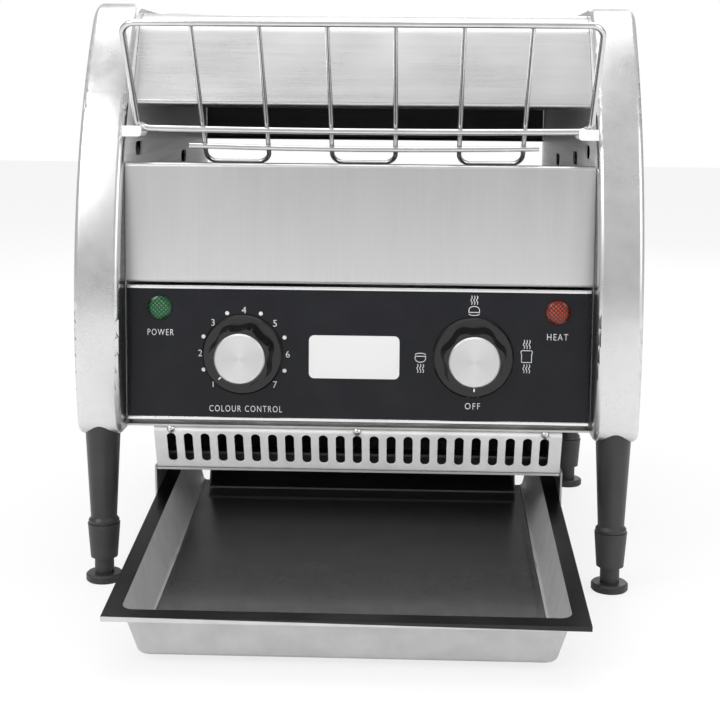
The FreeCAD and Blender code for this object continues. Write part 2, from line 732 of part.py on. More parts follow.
def cover_screws():
    """Screws through the outer faces of both side covers."""
    screws = []
    for depth, height in cover_screw_places():
        for side in (-1, 1):
            place = Vector(side * HOUSING_OUTER, depth, height)
            screws.append(screw(place, Vector(side, 0, 0), COVER_SCREW_RADIUS, SCREW_GRIP))
    return group(screws)


def base_pan():
    """Folded pan that hangs under the chassis plate and holds the electrical parts."""
    def shape(inset, low):
        return profile([(GRILLE_SETBACK + inset, low, 0), (PAN_REAR - inset, low, 0),
                        (PAN_REAR - inset, PAN_TOP + inset, 0), (inset, PAN_TOP + inset, 0)])
    outer = swept_x(shape(0, PAN_FLOOR), -GRILLE_HALF, GRILLE_HALF)
    floor = box(-GRILLE_HALF, GRILLE_HALF, GRILLE_SETBACK, PAN_REAR, PAN_BOTTOM, PAN_FLOOR)
    inside = box(-GRILLE_HALF + SHEET, GRILLE_HALF - SHEET, -5, PAN_REAR - SHEET, PAN_FLOOR, PAN_TOP + 1)
    relief = folded([(-1, PAN_TOP + SHEET, 0), (0, PAN_TOP, 0), (GRILLE_SETBACK, PAN_FLOOR, 0)],
                    SHEET + BEND, -GRILLE_HALF - 1, GRILLE_HALF + 1)
    lip = box(-GRILLE_HALF - 1, GRILLE_HALF + 1, -1, GRILLE_SETBACK + GRILLE_LIP + SEAT,
              PAN_FLOOR, PAN_FLOOR + SHEET + SEAT)
    top_lip = box(-GRILLE_HALF - 1, GRILLE_HALF + 1, -1, GRILLE_LIP + SEAT, PAN_TOP - SHEET - SEAT, PAN_TOP)
    walls = outer.cut(inside).cut(relief).cut(lip).cut(top_lip)
    pan = joined([walls, floor])
    cutters = []
    for row in range(2):
        for index in range(PAN_SLOT_COUNT):
            centre = Vector((index - (PAN_SLOT_COUNT - 1) / 2) * PAN_SLOT_PITCH,
                            PAN_SLOT_DEPTH + row * PAN_SLOT_STEP, PAN_FLOOR - SHEET / 2)
            cutters.append(slot_solid(centre, Vector(0, 1, 0), Vector(0, 0, 1),
                                      PAN_SLOT_LENGTH, SLOT_WIDTH, 4 * SHEET))
    return pan.cut(Part.makeCompound(cutters))


def component_rail():
    """Angle across the compartment, seen through the slots."""
    top = PAN_FLOOR + RAIL_RISE
    half = GRILLE_HALF - SHEET
    return folded([(RAIL_DEPTH, top, 0), (RAIL_DEPTH + RAIL_WIDTH, top, BEND),
                   (RAIL_DEPTH + RAIL_WIDTH, PAN_FLOOR, 0)], -SHEET, -half, half)


def heat_shield():
    """Folded sheet under the belt that also forms the front wall of the chute."""
    return folded([(SHIELD_START, SHIELD_HEIGHT, 0), (SHIELD_REAR, SHIELD_HEIGHT, BEND),
                   (SHIELD_REAR, SHIELD_KNEE, BEND), (SLIDE_REAR, CHASSIS_TOP + SEAT + THIN_SHEET, 0)],
                  THIN_SHEET, -BODY_HALF + SEAT, BODY_HALF - SEAT)


def hood():
    """Curved roof over the tunnel, vented by two rows of slots."""
    half = BODY_HALF - SEAT
    roof = folded([(REAR_FACE - HOOD_HEM, LINTEL_HEIGHT, 0), (REAR_FACE, LINTEL_HEIGHT, BEND),
                   (REAR_FACE, ROOF, HOOD_REAR_RADIUS), (HOOD_CROWN_DEPTH, ROOF, HOOD_CROWN_RADIUS),
                   (HOOD_LIP_DEPTH, HOOD_LIP_HEIGHT, BEND),
                   (HOOD_LIP_DEPTH + HOOD_HEM, HOOD_LIP_HEIGHT - 2, 0)], THIN_SHEET, -half, half)
    cutters = []
    middle = (HOOD_CROWN_DEPTH + REAR_FACE) / 2
    for row in range(LOUVRE_COUNT):
        depth = middle + (row - (LOUVRE_COUNT - 1) / 2) * LOUVRE_PITCH
        for side in (-1, 1):
            centre = Vector(side * LOUVRE_X, depth, ROOF - THIN_SHEET / 2)
            cutters.append(slot_solid(centre, Vector(1, 0, 0), Vector(0, 0, 1),
                                      LOUVRE_LENGTH, LOUVRE_WIDTH, 4 * THIN_SHEET))
    return roof.cut(Part.makeCompound(cutters))


def upper_reflector():
    """Liner above the upper heaters."""
    half = BODY_HALF - SEAT
    return folded([(REFLECTOR_REAR, REFLECTOR_HEIGHT - REFLECTOR_EDGE, 0),
                   (REFLECTOR_REAR, REFLECTOR_HEIGHT, BEND), (REFLECTOR_FRONT, REFLECTOR_HEIGHT, BEND),
                   (REFLECTOR_FRONT, REFLECTOR_HEIGHT - REFLECTOR_EDGE, 0)], THIN_SHEET, -half, half)


def lower_reflector():
    """Tray between the two runs of the belt, under the lower heaters."""
    half = BODY_HALF - SEAT
    low = SHAFT_HEIGHT - LOWER_REFLECTOR_DROP
    front = FRONT_SHAFT_DEPTH + LOWER_REFLECTOR_INSET
    rear = REAR_SHAFT_DEPTH - LOWER_REFLECTOR_INSET
    return folded([(front, low + LOWER_REFLECTOR_EDGE, 0), (front, low, BEND), (rear, low, BEND),
                   (rear, low + LOWER_REFLECTOR_EDGE, 0)], THIN_SHEET, -half, half)


def heater_depths():
    """Depths of the heater tubes in both banks."""
    return [HEATER_FIRST + index * HEATER_PITCH for index in range(HEATER_COUNT)]


def heaters(height):
    """One bank of straight quartz tubes."""
    reach = BODY_HALF - HEATER_END_GAP
    return group([rod_x(HEATER_RADIUS, -reach, reach, depth, height) for depth in heater_depths()])


def heater_holders():
    """Ceramic sockets on the inner plates, one at each end of every tube."""
    holders = []
    for height in (UPPER_HEATER_HEIGHT, LOWER_HEATER_HEIGHT):
        for depth in heater_depths():
            seat = rod_x(HOLDER_RADIUS, BODY_HALF - HOLDER_LENGTH, BODY_HALF, depth, height)
            bore = rod_x(HEATER_RADIUS + HEATER_FIT, BODY_HALF - HOLDER_LENGTH - 1,
                         BODY_HALF - HEATER_END_GAP + HEATER_FIT, depth, height)
            holder = seat.cut(bore)
            holders.append(holder)
            holders.append(mirrored(holder))
    return group(holders)


def rear_panel():
    """Slotted panel under the rear opening."""
    half = BODY_HALF - SEAT
    panel = folded([(GUIDE_DEPTH + 3, CHASSIS_TOP, 0), (REAR_FACE, CHASSIS_TOP, BEND),
                    (REAR_FACE, SILL_HEIGHT, 0)], THIN_SHEET, -half, half)
    cutters = [rod_y(GLAND_SPIGOT_RADIUS + SEAT, TUNNEL_REAR - 1, REAR_FACE + 1, GLAND_X, GLAND_HEIGHT)]
    for index in range(REAR_SLOT_COUNT):
        x = (index - (REAR_SLOT_COUNT - 1) / 2) * REAR_SLOT_PITCH
        centre = Vector(x, TUNNEL_REAR + THIN_SHEET / 2, REAR_SLOT_HEIGHT)
        cutters.append(slot_solid(centre, Vector(0, 0, 1), Vector(0, 1, 0),
                                  REAR_SLOT_LENGTH, REAR_SLOT_WIDTH, 4 * THIN_SHEET))
    return panel.cut(Part.makeCompound(cutters))


def slide_height(depth):
    """Height of the upper face of the sloping slide."""
    rise = (SLIDE_REAR_HEIGHT - SLIDE_FRONT_HEIGHT) / (SLIDE_REAR - SLIDE_FRONT)
    return SLIDE_FRONT_HEIGHT + (depth - SLIDE_FRONT) * rise


def rear_guide():
    """Curved back of the chute, with side walls below the chassis plate."""
    knee = (GUIDE_DEPTH, slide_height(GUIDE_DEPTH), GUIDE_RADIUS)
    foot = (SLIDE_REAR, slide_height(SLIDE_REAR), 0)
    curve = folded([(TUNNEL_REAR, SILL_HEIGHT, 0), (GUIDE_DEPTH, SILL_HEIGHT, BEND), knee, foot],
                   THIN_SHEET, -GRILLE_HALF, GRILLE_HALF)
    pieces = [curve]
    for side in (-1, 1):
        inner = side * (GRILLE_HALF - THIN_SHEET)
        outer = side * GRILLE_HALF
        wall = swept_x(profile([foot, (SLIDE_REAR, CHASSIS_TOP, 0), (GUIDE_DEPTH, CHASSIS_TOP, 0),
                                knee]), min(inner, outer), max(inner, outer))
        pieces.append(wall)
        wing = side * (BODY_HALF - SEAT)
        pieces.append(box(min(outer, wing), max(outer, wing), GUIDE_DEPTH, GUIDE_DEPTH + THIN_SHEET,
                          CHASSIS_TOP + SEAT, SILL_HEIGHT - 4))
    return joined(pieces)


def slide_plate():
    """Sloping slide under the base pan, hung from it by its side walls."""
    rear = SLIDE_REAR - SEAT
    floor = folded([(SLIDE_FRONT, slide_height(SLIDE_FRONT), 0), (rear, slide_height(rear), 0)],
                   -THIN_SHEET, -SLIDE_HALF, SLIDE_HALF)
    wall = swept_x(profile([(SLIDE_FRONT + 6, slide_height(SLIDE_FRONT + 6) - THIN_SHEET / 2, 0),
                            (PAN_REAR, slide_height(PAN_REAR) - THIN_SHEET / 2, 0),
                            (PAN_REAR, PAN_BOTTOM, 0), (SLIDE_FRONT + 24, PAN_BOTTOM, 0)]),
                   SLIDE_HALF - THIN_SHEET, SLIDE_HALF)
    return joined([floor, wall, mirrored(wall)])


def tilted(shape):
    """Lay a piece built flat at the rim's level into the tray's slope."""
    placed = shape.copy()
    placed.rotate(Vector(0, 0, 0), Vector(1, 0, 0), TRAY_SLOPE)
    placed.translate(Vector(0, 0, TRAY_RIM_HEIGHT))
    return placed


def tray_block(half, front, rear, low, top, draft, corner):
    """A block that narrows downwards, with its two front corners rounded."""
    def outline(inset, level):
        corners = [Vector(-half + inset, rear, level), Vector(-half + inset, front + inset, level),
                   Vector(half - inset, front + inset, level), Vector(half - inset, rear, level)]
        return Part.Wire(rounded_edges(corners, [0, corner, corner, 0], True))
    return Part.makeLoft([outline(draft, low), outline(0, top)], True, True)


def exit_tray():
    """Long pressed tray, open at the back, with leaning walls, a hemmed rim and a landing plate."""
    wall_half = TRAY_HALF - TRAY_RIM
    front = -TRAY_REACH + TRAY_RIM
    floor = -TRAY_WALL
    slope = TRAY_DRAFT / TRAY_WALL
    outer = tray_block(wall_half, front, TRAY_TAIL, floor - THIN_SHEET, 0,
                       TRAY_DRAFT + THIN_SHEET * slope, TRAY_CORNER)
    low = [e for e in outer.Edges if e.BoundBox.ZMax < floor - THIN_SHEET + 0.01
           and e.BoundBox.YMin < TRAY_TAIL - 1]
    outer = outer.makeFillet(TRAY_FOOT_RADIUS, low)
    inner = tray_block(wall_half - THIN_SHEET + slope, front + THIN_SHEET - slope, TRAY_TAIL + 5, floor, 1,
                       TRAY_DRAFT + slope, TRAY_CORNER - THIN_SHEET)
    low = [e for e in inner.Edges if e.BoundBox.ZMax < floor + 0.01 and e.BoundBox.YMin < TRAY_TAIL]
    inner = inner.makeFillet(TRAY_FOOT_RADIUS - THIN_SHEET, low)
    rim = box(-TRAY_HALF, TRAY_HALF, -TRAY_REACH, TRAY_TAIL, -THIN_SHEET, 0)
    hem = box(-TRAY_HALF, TRAY_HALF, -TRAY_REACH, TRAY_TAIL, -TRAY_HEM, -THIN_SHEET)
    hem = hem.cut(box(-TRAY_HALF + THIN_SHEET, TRAY_HALF - THIN_SHEET, -TRAY_REACH + THIN_SHEET,
                      TRAY_TAIL + 1, -TRAY_HEM - 1, 0))
    pressing = joined([outer, rim, hem]).cut(inner)
    plate = box(-TRAY_PLATE_HALF, TRAY_PLATE_HALF, front + TRAY_DRAFT + TRAY_PLATE_GAP, TRAY_PLATE_REAR,
                floor - THIN_SHEET / 2, floor + THIN_SHEET)
    return tilted(joined([pressing, plate]))


def tray_runners():
    """Pair of rails beside the base pan that carry the tray's rim."""
    near = TRAY_HALF + SEAT
    web_outer = near + THIN_SHEET
    under_rim = -TRAY_HEM - SEAT
    front = PAN_RAIL_START
    rear = PAN_RAIL_START + RUNNER_LENGTH
    web = box(near, web_outer, front, rear, under_rim - THIN_SHEET, TRAY_WALL)
    lip = box(near - RUNNER_LIP, web_outer, front, rear, under_rim - THIN_SHEET, under_rim)
    hanger = tilted(joined([web, lip]))
    ceiling = box(0, 2 * TRAY_HALF, -10, BODY_REAR, PAN_BOTTOM + THIN_SHEET, BODY_TOP)
    hanger = hanger.cut(ceiling)
    joggle = box(GRILLE_HALF, web_outer, front + 2, rear - 2, PAN_BOTTOM, PAN_BOTTOM + THIN_SHEET)
    flange = box(GRILLE_HALF, GRILLE_HALF + THIN_SHEET, front + 2, rear - 2, PAN_BOTTOM,
                 PAN_BOTTOM + RUNNER_FLANGE)
    right = joined([hanger, joggle, flange])
    return group([right, mirrored(right)])


def loop_wire(a, radius_a, b, radius_b, x):
    """Closed outline round two circles, given by (depth, height) centres."""
    run = b[0] - a[0]
    rise = b[1] - a[1]
    span = math.hypot(run, rise)
    lean = math.atan2(rise, run)
    open_angle = math.acos((radius_a - radius_b) / span)

    def point(centre, radius, angle):
        return Vector(x, centre[0] + radius * math.cos(angle), centre[1] + radius * math.sin(angle))
    a_up = point(a, radius_a, lean + open_angle)
    a_low = point(a, radius_a, lean - open_angle)
    b_up = point(b, radius_b, lean + open_angle)
    b_low = point(b, radius_b, lean - open_angle)
    return Part.Wire([
        Part.LineSegment(a_low, b_low).toShape(),
        Part.Arc(b_low, point(b, radius_b, lean), b_up).toShape(),
        Part.LineSegment(b_up, a_up).toShape(),
        Part.Arc(a_up, point(a, radius_a, lean + math.pi), a_low).toShape(),
    ])


def loop_band(a, radius_a, b, radius_b, half_height, x0, x1):
    """Flat endless band round two circles."""
    outer = Part.Face(loop_wire(a, radius_a + half_height, b, radius_b + half_height, x0))
    inner = Part.Face(loop_wire(a, radius_a - half_height, b, radius_b - half_height, x0))
    return outer.cut(inner).extrude(Vector(x1 - x0, 0, 0))


def belt_point(distance):
    """Centre of a belt rod, at a distance along the loop from above the front shaft."""
    run = REAR_SHAFT_DEPTH - FRONT_SHAFT_DEPTH
    bend = math.pi * BELT_PITCH_RADIUS
    radius = BELT_PITCH_RADIUS
    if distance < run:
        return FRONT_SHAFT_DEPTH + distance, SHAFT_HEIGHT + radius
    distance -= run
    if distance < bend:
        angle = math.pi / 2 - distance / radius
        return REAR_SHAFT_DEPTH + radius * math.cos(angle), SHAFT_HEIGHT + radius * math.sin(angle)
    distance -= bend
    if distance < run:
        return REAR_SHAFT_DEPTH - distance, SHAFT_HEIGHT - radius
    distance -= run
    angle = -math.pi / 2 - distance / radius
    return FRONT_SHAFT_DEPTH + radius * math.cos(angle), SHAFT_HEIGHT + radius * math.sin(angle)


def conveyor_belt():
    """Endless wire belt: cross rods held by flat link lanes."""
    front = (FRONT_SHAFT_DEPTH, SHAFT_HEIGHT)
    rear = (REAR_SHAFT_DEPTH, SHAFT_HEIGHT)
    length = 2 * (REAR_SHAFT_DEPTH - FRONT_SHAFT_DEPTH) + 2 * math.pi * BELT_PITCH_RADIUS
    pieces = []
    for lane in range(BELT_LANES):
        middle = (lane - (BELT_LANES - 1) / 2) * 2 * BELT_LANE_REACH / (BELT_LANES - 1)
        pieces.append(loop_band(front, BELT_PITCH_RADIUS, rear, BELT_PITCH_RADIUS, BELT_LANE_GAUGE / 2,
                                middle - BELT_LANE_WIDTH / 2, middle + BELT_LANE_WIDTH / 2))
    for index in range(BELT_ROD_COUNT):
        depth, height = belt_point(length * (index + 0.5) / BELT_ROD_COUNT)
        pieces.append(rod_x(BELT_ROD_RADIUS, -BELT_HALF, BELT_HALF, depth, height))
    return pieces[0].multiFuse(pieces[1:])


def toothed_disc(teeth, tip, root, x0, x1, depth, height):
    """Plain sprocket with flat-topped teeth."""
    points = []
    for index in range(teeth):
        for share, radius in ((-0.30, root), (-0.14, tip), (0.14, tip), (0.30, root)):
            angle = 2 * math.pi * (index + share) / teeth
            points.append(Vector(x0, depth + radius * math.cos(angle), height + radius * math.sin(angle)))
    face = Part.Face(Part.makePolygon(points + [points[0]]))
    return face.extrude(Vector(x1 - x0, 0, 0))


def belt_sprockets(depth):
    """Three sprockets inside the loop of the belt, on one shaft."""
    tip = BELT_PITCH_RADIUS - BELT_ROD_RADIUS - BELT_CLEARANCE
    bore = rod_x(SHAFT_RADIUS, -BODY_HALF, BODY_HALF, depth, SHAFT_HEIGHT)
    discs = []
    for index in range(SPROCKET_COUNT):
        x = (index - (SPROCKET_COUNT - 1) / 2) * SPROCKET_SPREAD
        disc = toothed_disc(SPROCKET_TEETH, tip, tip - TOOTH_DEPTH, x - SPROCKET_GAUGE / 2,
                            x + SPROCKET_GAUGE / 2, depth, SHAFT_HEIGHT)
        collar = rod_x(HUB_RADIUS, x - SPROCKET_GAUGE, x + SPROCKET_GAUGE, depth, SHAFT_HEIGHT)
        discs.append(joined([disc, collar]).cut(bore))
    return group(discs)


def shaft_ends():
    """X of the plain end of a belt shaft, just outside its bush."""
    return BODY_HALF + SHEET + BUSH_TAIL + SHAFT_TAIL


def drive_shaft():
    """Rear shaft, longer on the right where the chain drives it."""
    return rod_x(SHAFT_RADIUS, -shaft_ends(), CHAIN_X + CHAIN_WIDTH + SHAFT_TAIL, REAR_SHAFT_DEPTH, SHAFT_HEIGHT)


def idler_shaft():
    """Front shaft."""
    return rod_x(SHAFT_RADIUS, -shaft_ends(), shaft_ends(), FRONT_SHAFT_DEPTH, SHAFT_HEIGHT)


def shaft_bushes():
    """Flanged bushes of both shafts, in the inner plates."""
    bushes = []
    for depth in (FRONT_SHAFT_DEPTH, REAR_SHAFT_DEPTH):
        flange = rod_x(BUSH_FLANGE_RADIUS, BODY_HALF - BUSH_FLANGE_GAUGE, BODY_HALF, depth, SHAFT_HEIGHT)
        sleeve = rod_x(BUSH_RADIUS - BUSH_FIT, BODY_HALF - BUSH_FLANGE_GAUGE,
                       BODY_HALF + SHEET + BUSH_TAIL, depth, SHAFT_HEIGHT)
        bore = rod_x(SHAFT_RADIUS + SHAFT_FIT, BODY_HALF - 10, BODY_HALF + 20, depth, SHAFT_HEIGHT)
        bush = joined([flange, sleeve]).cut(bore)
        bushes.append(bush)
        bushes.append(mirrored(bush))
    return group(bushes)


def pitch_radius(teeth):
    """Pitch radius of a chain sprocket."""
    return CHAIN_PITCH / (2 * math.sin(math.pi / teeth))


def chain_sprocket(teeth, bore_radius, hub_radius, depth, height):
    """Sprocket for the drive chain, with its hub towards the inner plate."""
    middle = CHAIN_X + CHAIN_WIDTH / 2
    tip = pitch_radius(teeth) - CHAIN_HALF_HEIGHT - CHAIN_CLEARANCE
    disc = toothed_disc(teeth, tip, tip - CHAIN_TOOTH, middle - CHAIN_SPROCKET_GAUGE / 2,
                        middle + CHAIN_SPROCKET_GAUGE / 2, depth, height)
    hub = rod_x(hub_radius, middle - HUB_LENGTH, middle, depth, height)
    bore = rod_x(bore_radius, CHAIN_X - 20, CHAIN_X + 20, depth, height)
    return joined([disc, hub]).cut(bore)


def drive_chain():
    """Chain from the gear motor to the drive shaft, in the right side housing."""
    return loop_band((MOTOR_DEPTH, MOTOR_HEIGHT), pitch_radius(MOTOR_TEETH),
                     (REAR_SHAFT_DEPTH, SHAFT_HEIGHT), pitch_radius(DRIVE_TEETH),
                     CHAIN_HALF_HEIGHT, CHAIN_X, CHAIN_X + CHAIN_WIDTH)


def gear_motor():
    """Gearbox flat against the right inner plate, with the motor can behind it."""
    half = GEARBOX_SIZE / 2
    gearbox = box(BODY_HALF - GEARBOX_LENGTH, BODY_HALF, MOTOR_DEPTH - half, MOTOR_DEPTH + half,
                  MOTOR_HEIGHT - half, MOTOR_HEIGHT + half)
    gearbox = gearbox.makeFillet(GEARBOX_CORNER, [e for e in gearbox.Edges
                                                  if e.BoundBox.XLength > GEARBOX_LENGTH / 2])
    can = rod_x(MOTOR_RADIUS, BODY_HALF - GEARBOX_LENGTH - MOTOR_LENGTH, BODY_HALF - GEARBOX_LENGTH,
                MOTOR_DEPTH, MOTOR_HEIGHT)
    bore = rod_x(MOTOR_SHAFT_RADIUS + SHAFT_FIT, BODY_HALF - MOTOR_SHAFT_REACH - SEAT, BODY_HALF + 1,
                 MOTOR_DEPTH, MOTOR_HEIGHT)
    return joined([gearbox, can]).cut(bore)


def motor_shaft():
    """Output spindle of the gearbox."""
    return rod_x(MOTOR_SHAFT_RADIUS, BODY_HALF - MOTOR_SHAFT_REACH, CHAIN_X + CHAIN_WIDTH + SHAFT_TAIL,
                 MOTOR_DEPTH, MOTOR_HEIGHT)


def fan_centre():
    """Height of the fan's axis, its frame standing on the pan's floor."""
    return PAN_FLOOR + FAN_SIZE / 2


def fan_housing():
    """Square fan frame with four struts and the fixed motor hub."""
    height = fan_centre()
    front = FAN_DEPTH - FAN_LENGTH / 2
    rear = FAN_DEPTH + FAN_LENGTH / 2
    half = FAN_SIZE / 2
    frame = box(FAN_X - half, FAN_X + half, front, rear, height - half, height + half)
    frame = frame.makeFillet(FAN_CORNER, [e for e in frame.Edges if e.BoundBox.YLength > FAN_LENGTH / 2])
    frame = frame.cut(rod_y(FAN_BORE, front - 1, rear + 1, FAN_X, height))
    pieces = [frame, rod_y(FAN_HUB, rear - FAN_STATOR, rear, FAN_X, height)]
    for turn in range(4):
        strut = box(FAN_HUB - 2, FAN_BORE + 1.5, rear - FAN_STRUT, rear, -FAN_STRUT / 2, FAN_STRUT / 2)
        strut.rotate(Vector(0, 0, 0), Vector(0, 1, 0), 45 + 90 * turn)
        strut.translate(Vector(FAN_X, 0, height))
        pieces.append(strut)
    pin_hole = rod_y(FAN_PIN_RADIUS + FAN_PIN_FIT, rear - FAN_STATOR - 1, rear - FAN_STRUT, FAN_X, height)
    return joined(pieces).cut(pin_hole)


def fan_impeller():
    """Hub with seven pitched blades and its pin."""
    height = fan_centre()
    front = FAN_DEPTH - FAN_LENGTH / 2 + FAN_TIP_GAP
    rear = FAN_DEPTH + FAN_LENGTH / 2 - FAN_STATOR - SEAT
    middle = (front + rear) / 2
    pieces = [rod_y(FAN_HUB, front, rear, FAN_X, height)]
    pieces.append(rod_y(FAN_PIN_RADIUS, rear - 1, rear + FAN_STATOR - FAN_STRUT - 0.5, FAN_X, height))
    reach = FAN_BORE - FAN_TIP_GAP
    chord = (rear - front) / math.cos(math.radians(FAN_BLADE_ANGLE)) * 0.9
    for index in range(FAN_BLADES):
        blade = box(FAN_HUB - 2, reach, -chord / 2, chord / 2, -FAN_BLADE_GAUGE / 2, FAN_BLADE_GAUGE / 2)
        blade.rotate(Vector(0, 0, 0), Vector(1, 0, 0), FAN_BLADE_ANGLE)
        blade.translate(Vector(0, middle, 0))
        blade.rotate(Vector(0, middle, 0), Vector(0, 1, 0), 360 * index / FAN_BLADES)
        blade.translate(Vector(FAN_X, 0, height))
        pieces.append(blade)
    sweep = rod_y(reach, front, rear, FAN_X, height)
    blades = joined(pieces[:1] + pieces[2:]).common(sweep)
    return joined([blades, pieces[1]])


def turned_y(points, x, height):
    """A turned piece about an axis into the depth, from (radius, depth) points."""
    corners = [Vector(p[0], p[1], 0) for p in points]
    face = Part.Face(Part.makePolygon(corners + [corners[0]]))
    solid = face.revolve(Vector(0, 0, 0), Vector(0, 1, 0), 360)
    solid.translate(Vector(x, 0, height))
    return solid


def wave_wire(radius, wave, depth):
    """Closed finger-wave outline of a knob's grip."""
    step = math.pi / KNOB_WAVES

    def point(index, offset):
        angle = index * step / 2
        return Vector((radius + offset) * math.sin(angle), depth, (radius + offset) * math.cos(angle))
    edges = []
    for index in range(2 * KNOB_WAVES):
        offset = wave if index % 2 == 0 else -wave
        edges.append(Part.Arc(point(2 * index - 1, 0), point(2 * index, offset),
                              point(2 * index + 1, 0)).toShape())
    return Part.Wire(edges)


def knob(x, start):
    """Skirt and waved grip of a knob, with the pointer rib on its face."""
    back = -KNOB_GAP
    face = back - KNOB_DEPTH
    skirt = turned_y([(0, back), (KNOB_SKIRT_RADIUS, back), (KNOB_SKIRT_RADIUS, back - KNOB_SKIRT_GAUGE / 2),
                      (KNOB_SKIRT_RADIUS - KNOB_SKIRT_BEVEL, back - KNOB_SKIRT_GAUGE),
                      (0, back - KNOB_SKIRT_GAUGE)], 0, 0)
    base = wave_wire(KNOB_GRIP_RADIUS, KNOB_WAVE, back - KNOB_SKIRT_GAUGE / 2)
    top = wave_wire(KNOB_GRIP_RADIUS - KNOB_DRAFT, KNOB_WAVE, face)
    grip = Part.makeLoft([base, top], True, True)
    inner = KNOB_CAP_RADIUS
    rib = box(-POINTER_WIDTH / 2, POINTER_WIDTH / 2, face - POINTER_RISE, face + POINTER_RISE,
              inner, inner + POINTER_REACH)
    body = joined([skirt, grip, rib])
    body = body.cut(rod_y(CONTROL_SHAFT_RADIUS + CONTROL_SHAFT_FIT, -KNOB_BORE, back + 1, 0, 0))
    body.rotate(Vector(0, 0, 0), Vector(0, 1, 0), start)
    body.translate(Vector(x, 0, KNOB_HEIGHT))
    return body


def knob_cap(x):
    """Spun metal disc on the face of a knob."""
    face = -KNOB_GAP - KNOB_DEPTH
    front = face - KNOB_CAP_GAUGE
    bevel = KNOB_CAP_GAUGE / 2
    return turned_y([(0, face), (KNOB_CAP_RADIUS - SEAT, face), (KNOB_CAP_RADIUS - SEAT, front + bevel),
                     (KNOB_CAP_RADIUS - SEAT - bevel, front), (0, front)], x, KNOB_HEIGHT)


def control_shaft(x):
    """Spindle between a knob and the control behind the panel."""
    return rod_y(CONTROL_SHAFT_RADIUS, -KNOB_BORE + SEAT, CONTROL_BACK + CONTROL_SHAFT_TAIL - SEAT,
                 x, KNOB_HEIGHT)


def speed_control():
    """Round rotary control for the belt speed, behind the panel."""
    can = rod_y(SPEED_CAN_RADIUS, CONTROL_BACK, CONTROL_BACK + SPEED_CAN_DEPTH, -KNOB_X, KNOB_HEIGHT)
    tags = box(-KNOB_X - SPEED_TAG_HALF, -KNOB_X + SPEED_TAG_HALF, CONTROL_BACK + 2, CONTROL_BACK + 4,
               KNOB_HEIGHT - SPEED_CAN_RADIUS - 6, KNOB_HEIGHT)
    bore = rod_y(CONTROL_SHAFT_RADIUS + CONTROL_SHAFT_FIT, CONTROL_BACK - 1,
                 CONTROL_BACK + CONTROL_SHAFT_TAIL, -KNOB_X, KNOB_HEIGHT)
    return joined([can, tags]).cut(bore)


def mode_switch():
    """Square rotary switch for the heaters, behind the panel."""
    half = SWITCH_WIDTH / 2
    block = box(KNOB_X - half, KNOB_X + half, CONTROL_BACK, CONTROL_BACK + SWITCH_DEPTH,
                KNOB_HEIGHT - half, KNOB_HEIGHT + half)
    block = block.makeFillet(SWITCH_CORNER, [e for e in block.Edges
                                             if e.BoundBox.YLength > SWITCH_DEPTH / 2])
    bore = rod_y(CONTROL_SHAFT_RADIUS + CONTROL_SHAFT_FIT, CONTROL_BACK - 1,
                 CONTROL_BACK + CONTROL_SHAFT_TAIL, KNOB_X, KNOB_HEIGHT)
    return block.cut(bore)


def lamp_lens(x):
    """Low domed lens on the face of the dark plate."""
    rise = LAMP_RISE
    return turned_y([(0, 0), (LAMP_RADIUS, 0), (LAMP_RADIUS, -rise * 0.35), (LAMP_RADIUS * 0.93, -rise * 0.75),
                     (LAMP_RADIUS * 0.75, -rise), (0, -rise)], x, LAMP_HEIGHT)


def lamp_bodies():
    """Sockets of the two lamps, through the plate and its carrier."""
    bodies = []
    for side in (-1, 1):
        bodies.append(turned_y([(0, SEAT), (LAMP_BODY_RADIUS, SEAT), (LAMP_BODY_RADIUS, LAMP_BODY_DEPTH * 0.6),
                                (LAMP_BODY_RADIUS * 0.7, LAMP_BODY_DEPTH * 0.6),
                                (LAMP_BODY_RADIUS * 0.7, LAMP_BODY_DEPTH), (0, LAMP_BODY_DEPTH)],
                               side * LAMP_X, LAMP_HEIGHT))
    return group(bodies)


def leg(x, depth):
    """Upper part of a leg: a taper with a collar at the joint and a bore for the foot."""
    top = LEG_TOP
    joint = LEG_JOINT_HEIGHT
    waist = joint + LEG_COLLAR_HEIGHT
    body = turned([(0, joint), (LEG_COLLAR_RADIUS, joint), (LEG_COLLAR_RADIUS, waist - 1),
                   (LEG_LOW_RADIUS, waist + 1), (LEG_TOP_RADIUS, HOUSING_BOTTOM), (LEG_TOP_RADIUS, top),
                   (0, top)], x, depth)
    bore = rod_z(FOOT_STUD_RADIUS + FOOT_STUD_FIT, joint - 1, joint + FOOT_STUD_LENGTH + SEAT, x, depth)
    return body.cut(bore)


def foot(x, depth):
    """Screw-in foot: tapered sleeve, neck, round pad and stud."""
    shoulder = LEG_JOINT_HEIGHT - SEAT
    pad = FOOT_DISC_HEIGHT
    return turned([(0, 0), (FOOT_DISC_RADIUS - 1, 0), (FOOT_DISC_RADIUS, 1), (FOOT_DISC_RADIUS, pad - 1),
                   (FOOT_DISC_RADIUS - 1, pad), (FOOT_NECK_RADIUS, pad), (FOOT_NECK_RADIUS, FOOT_SLEEVE_HEIGHT),
                   (FOOT_LOW_RADIUS, FOOT_SLEEVE_HEIGHT), (FOOT_TOP_RADIUS, shoulder),
                   (FOOT_STUD_RADIUS, shoulder), (FOOT_STUD_RADIUS, LEG_JOINT_HEIGHT + FOOT_STUD_LENGTH),
                   (0, LEG_JOINT_HEIGHT + FOOT_STUD_LENGTH)], x, depth)


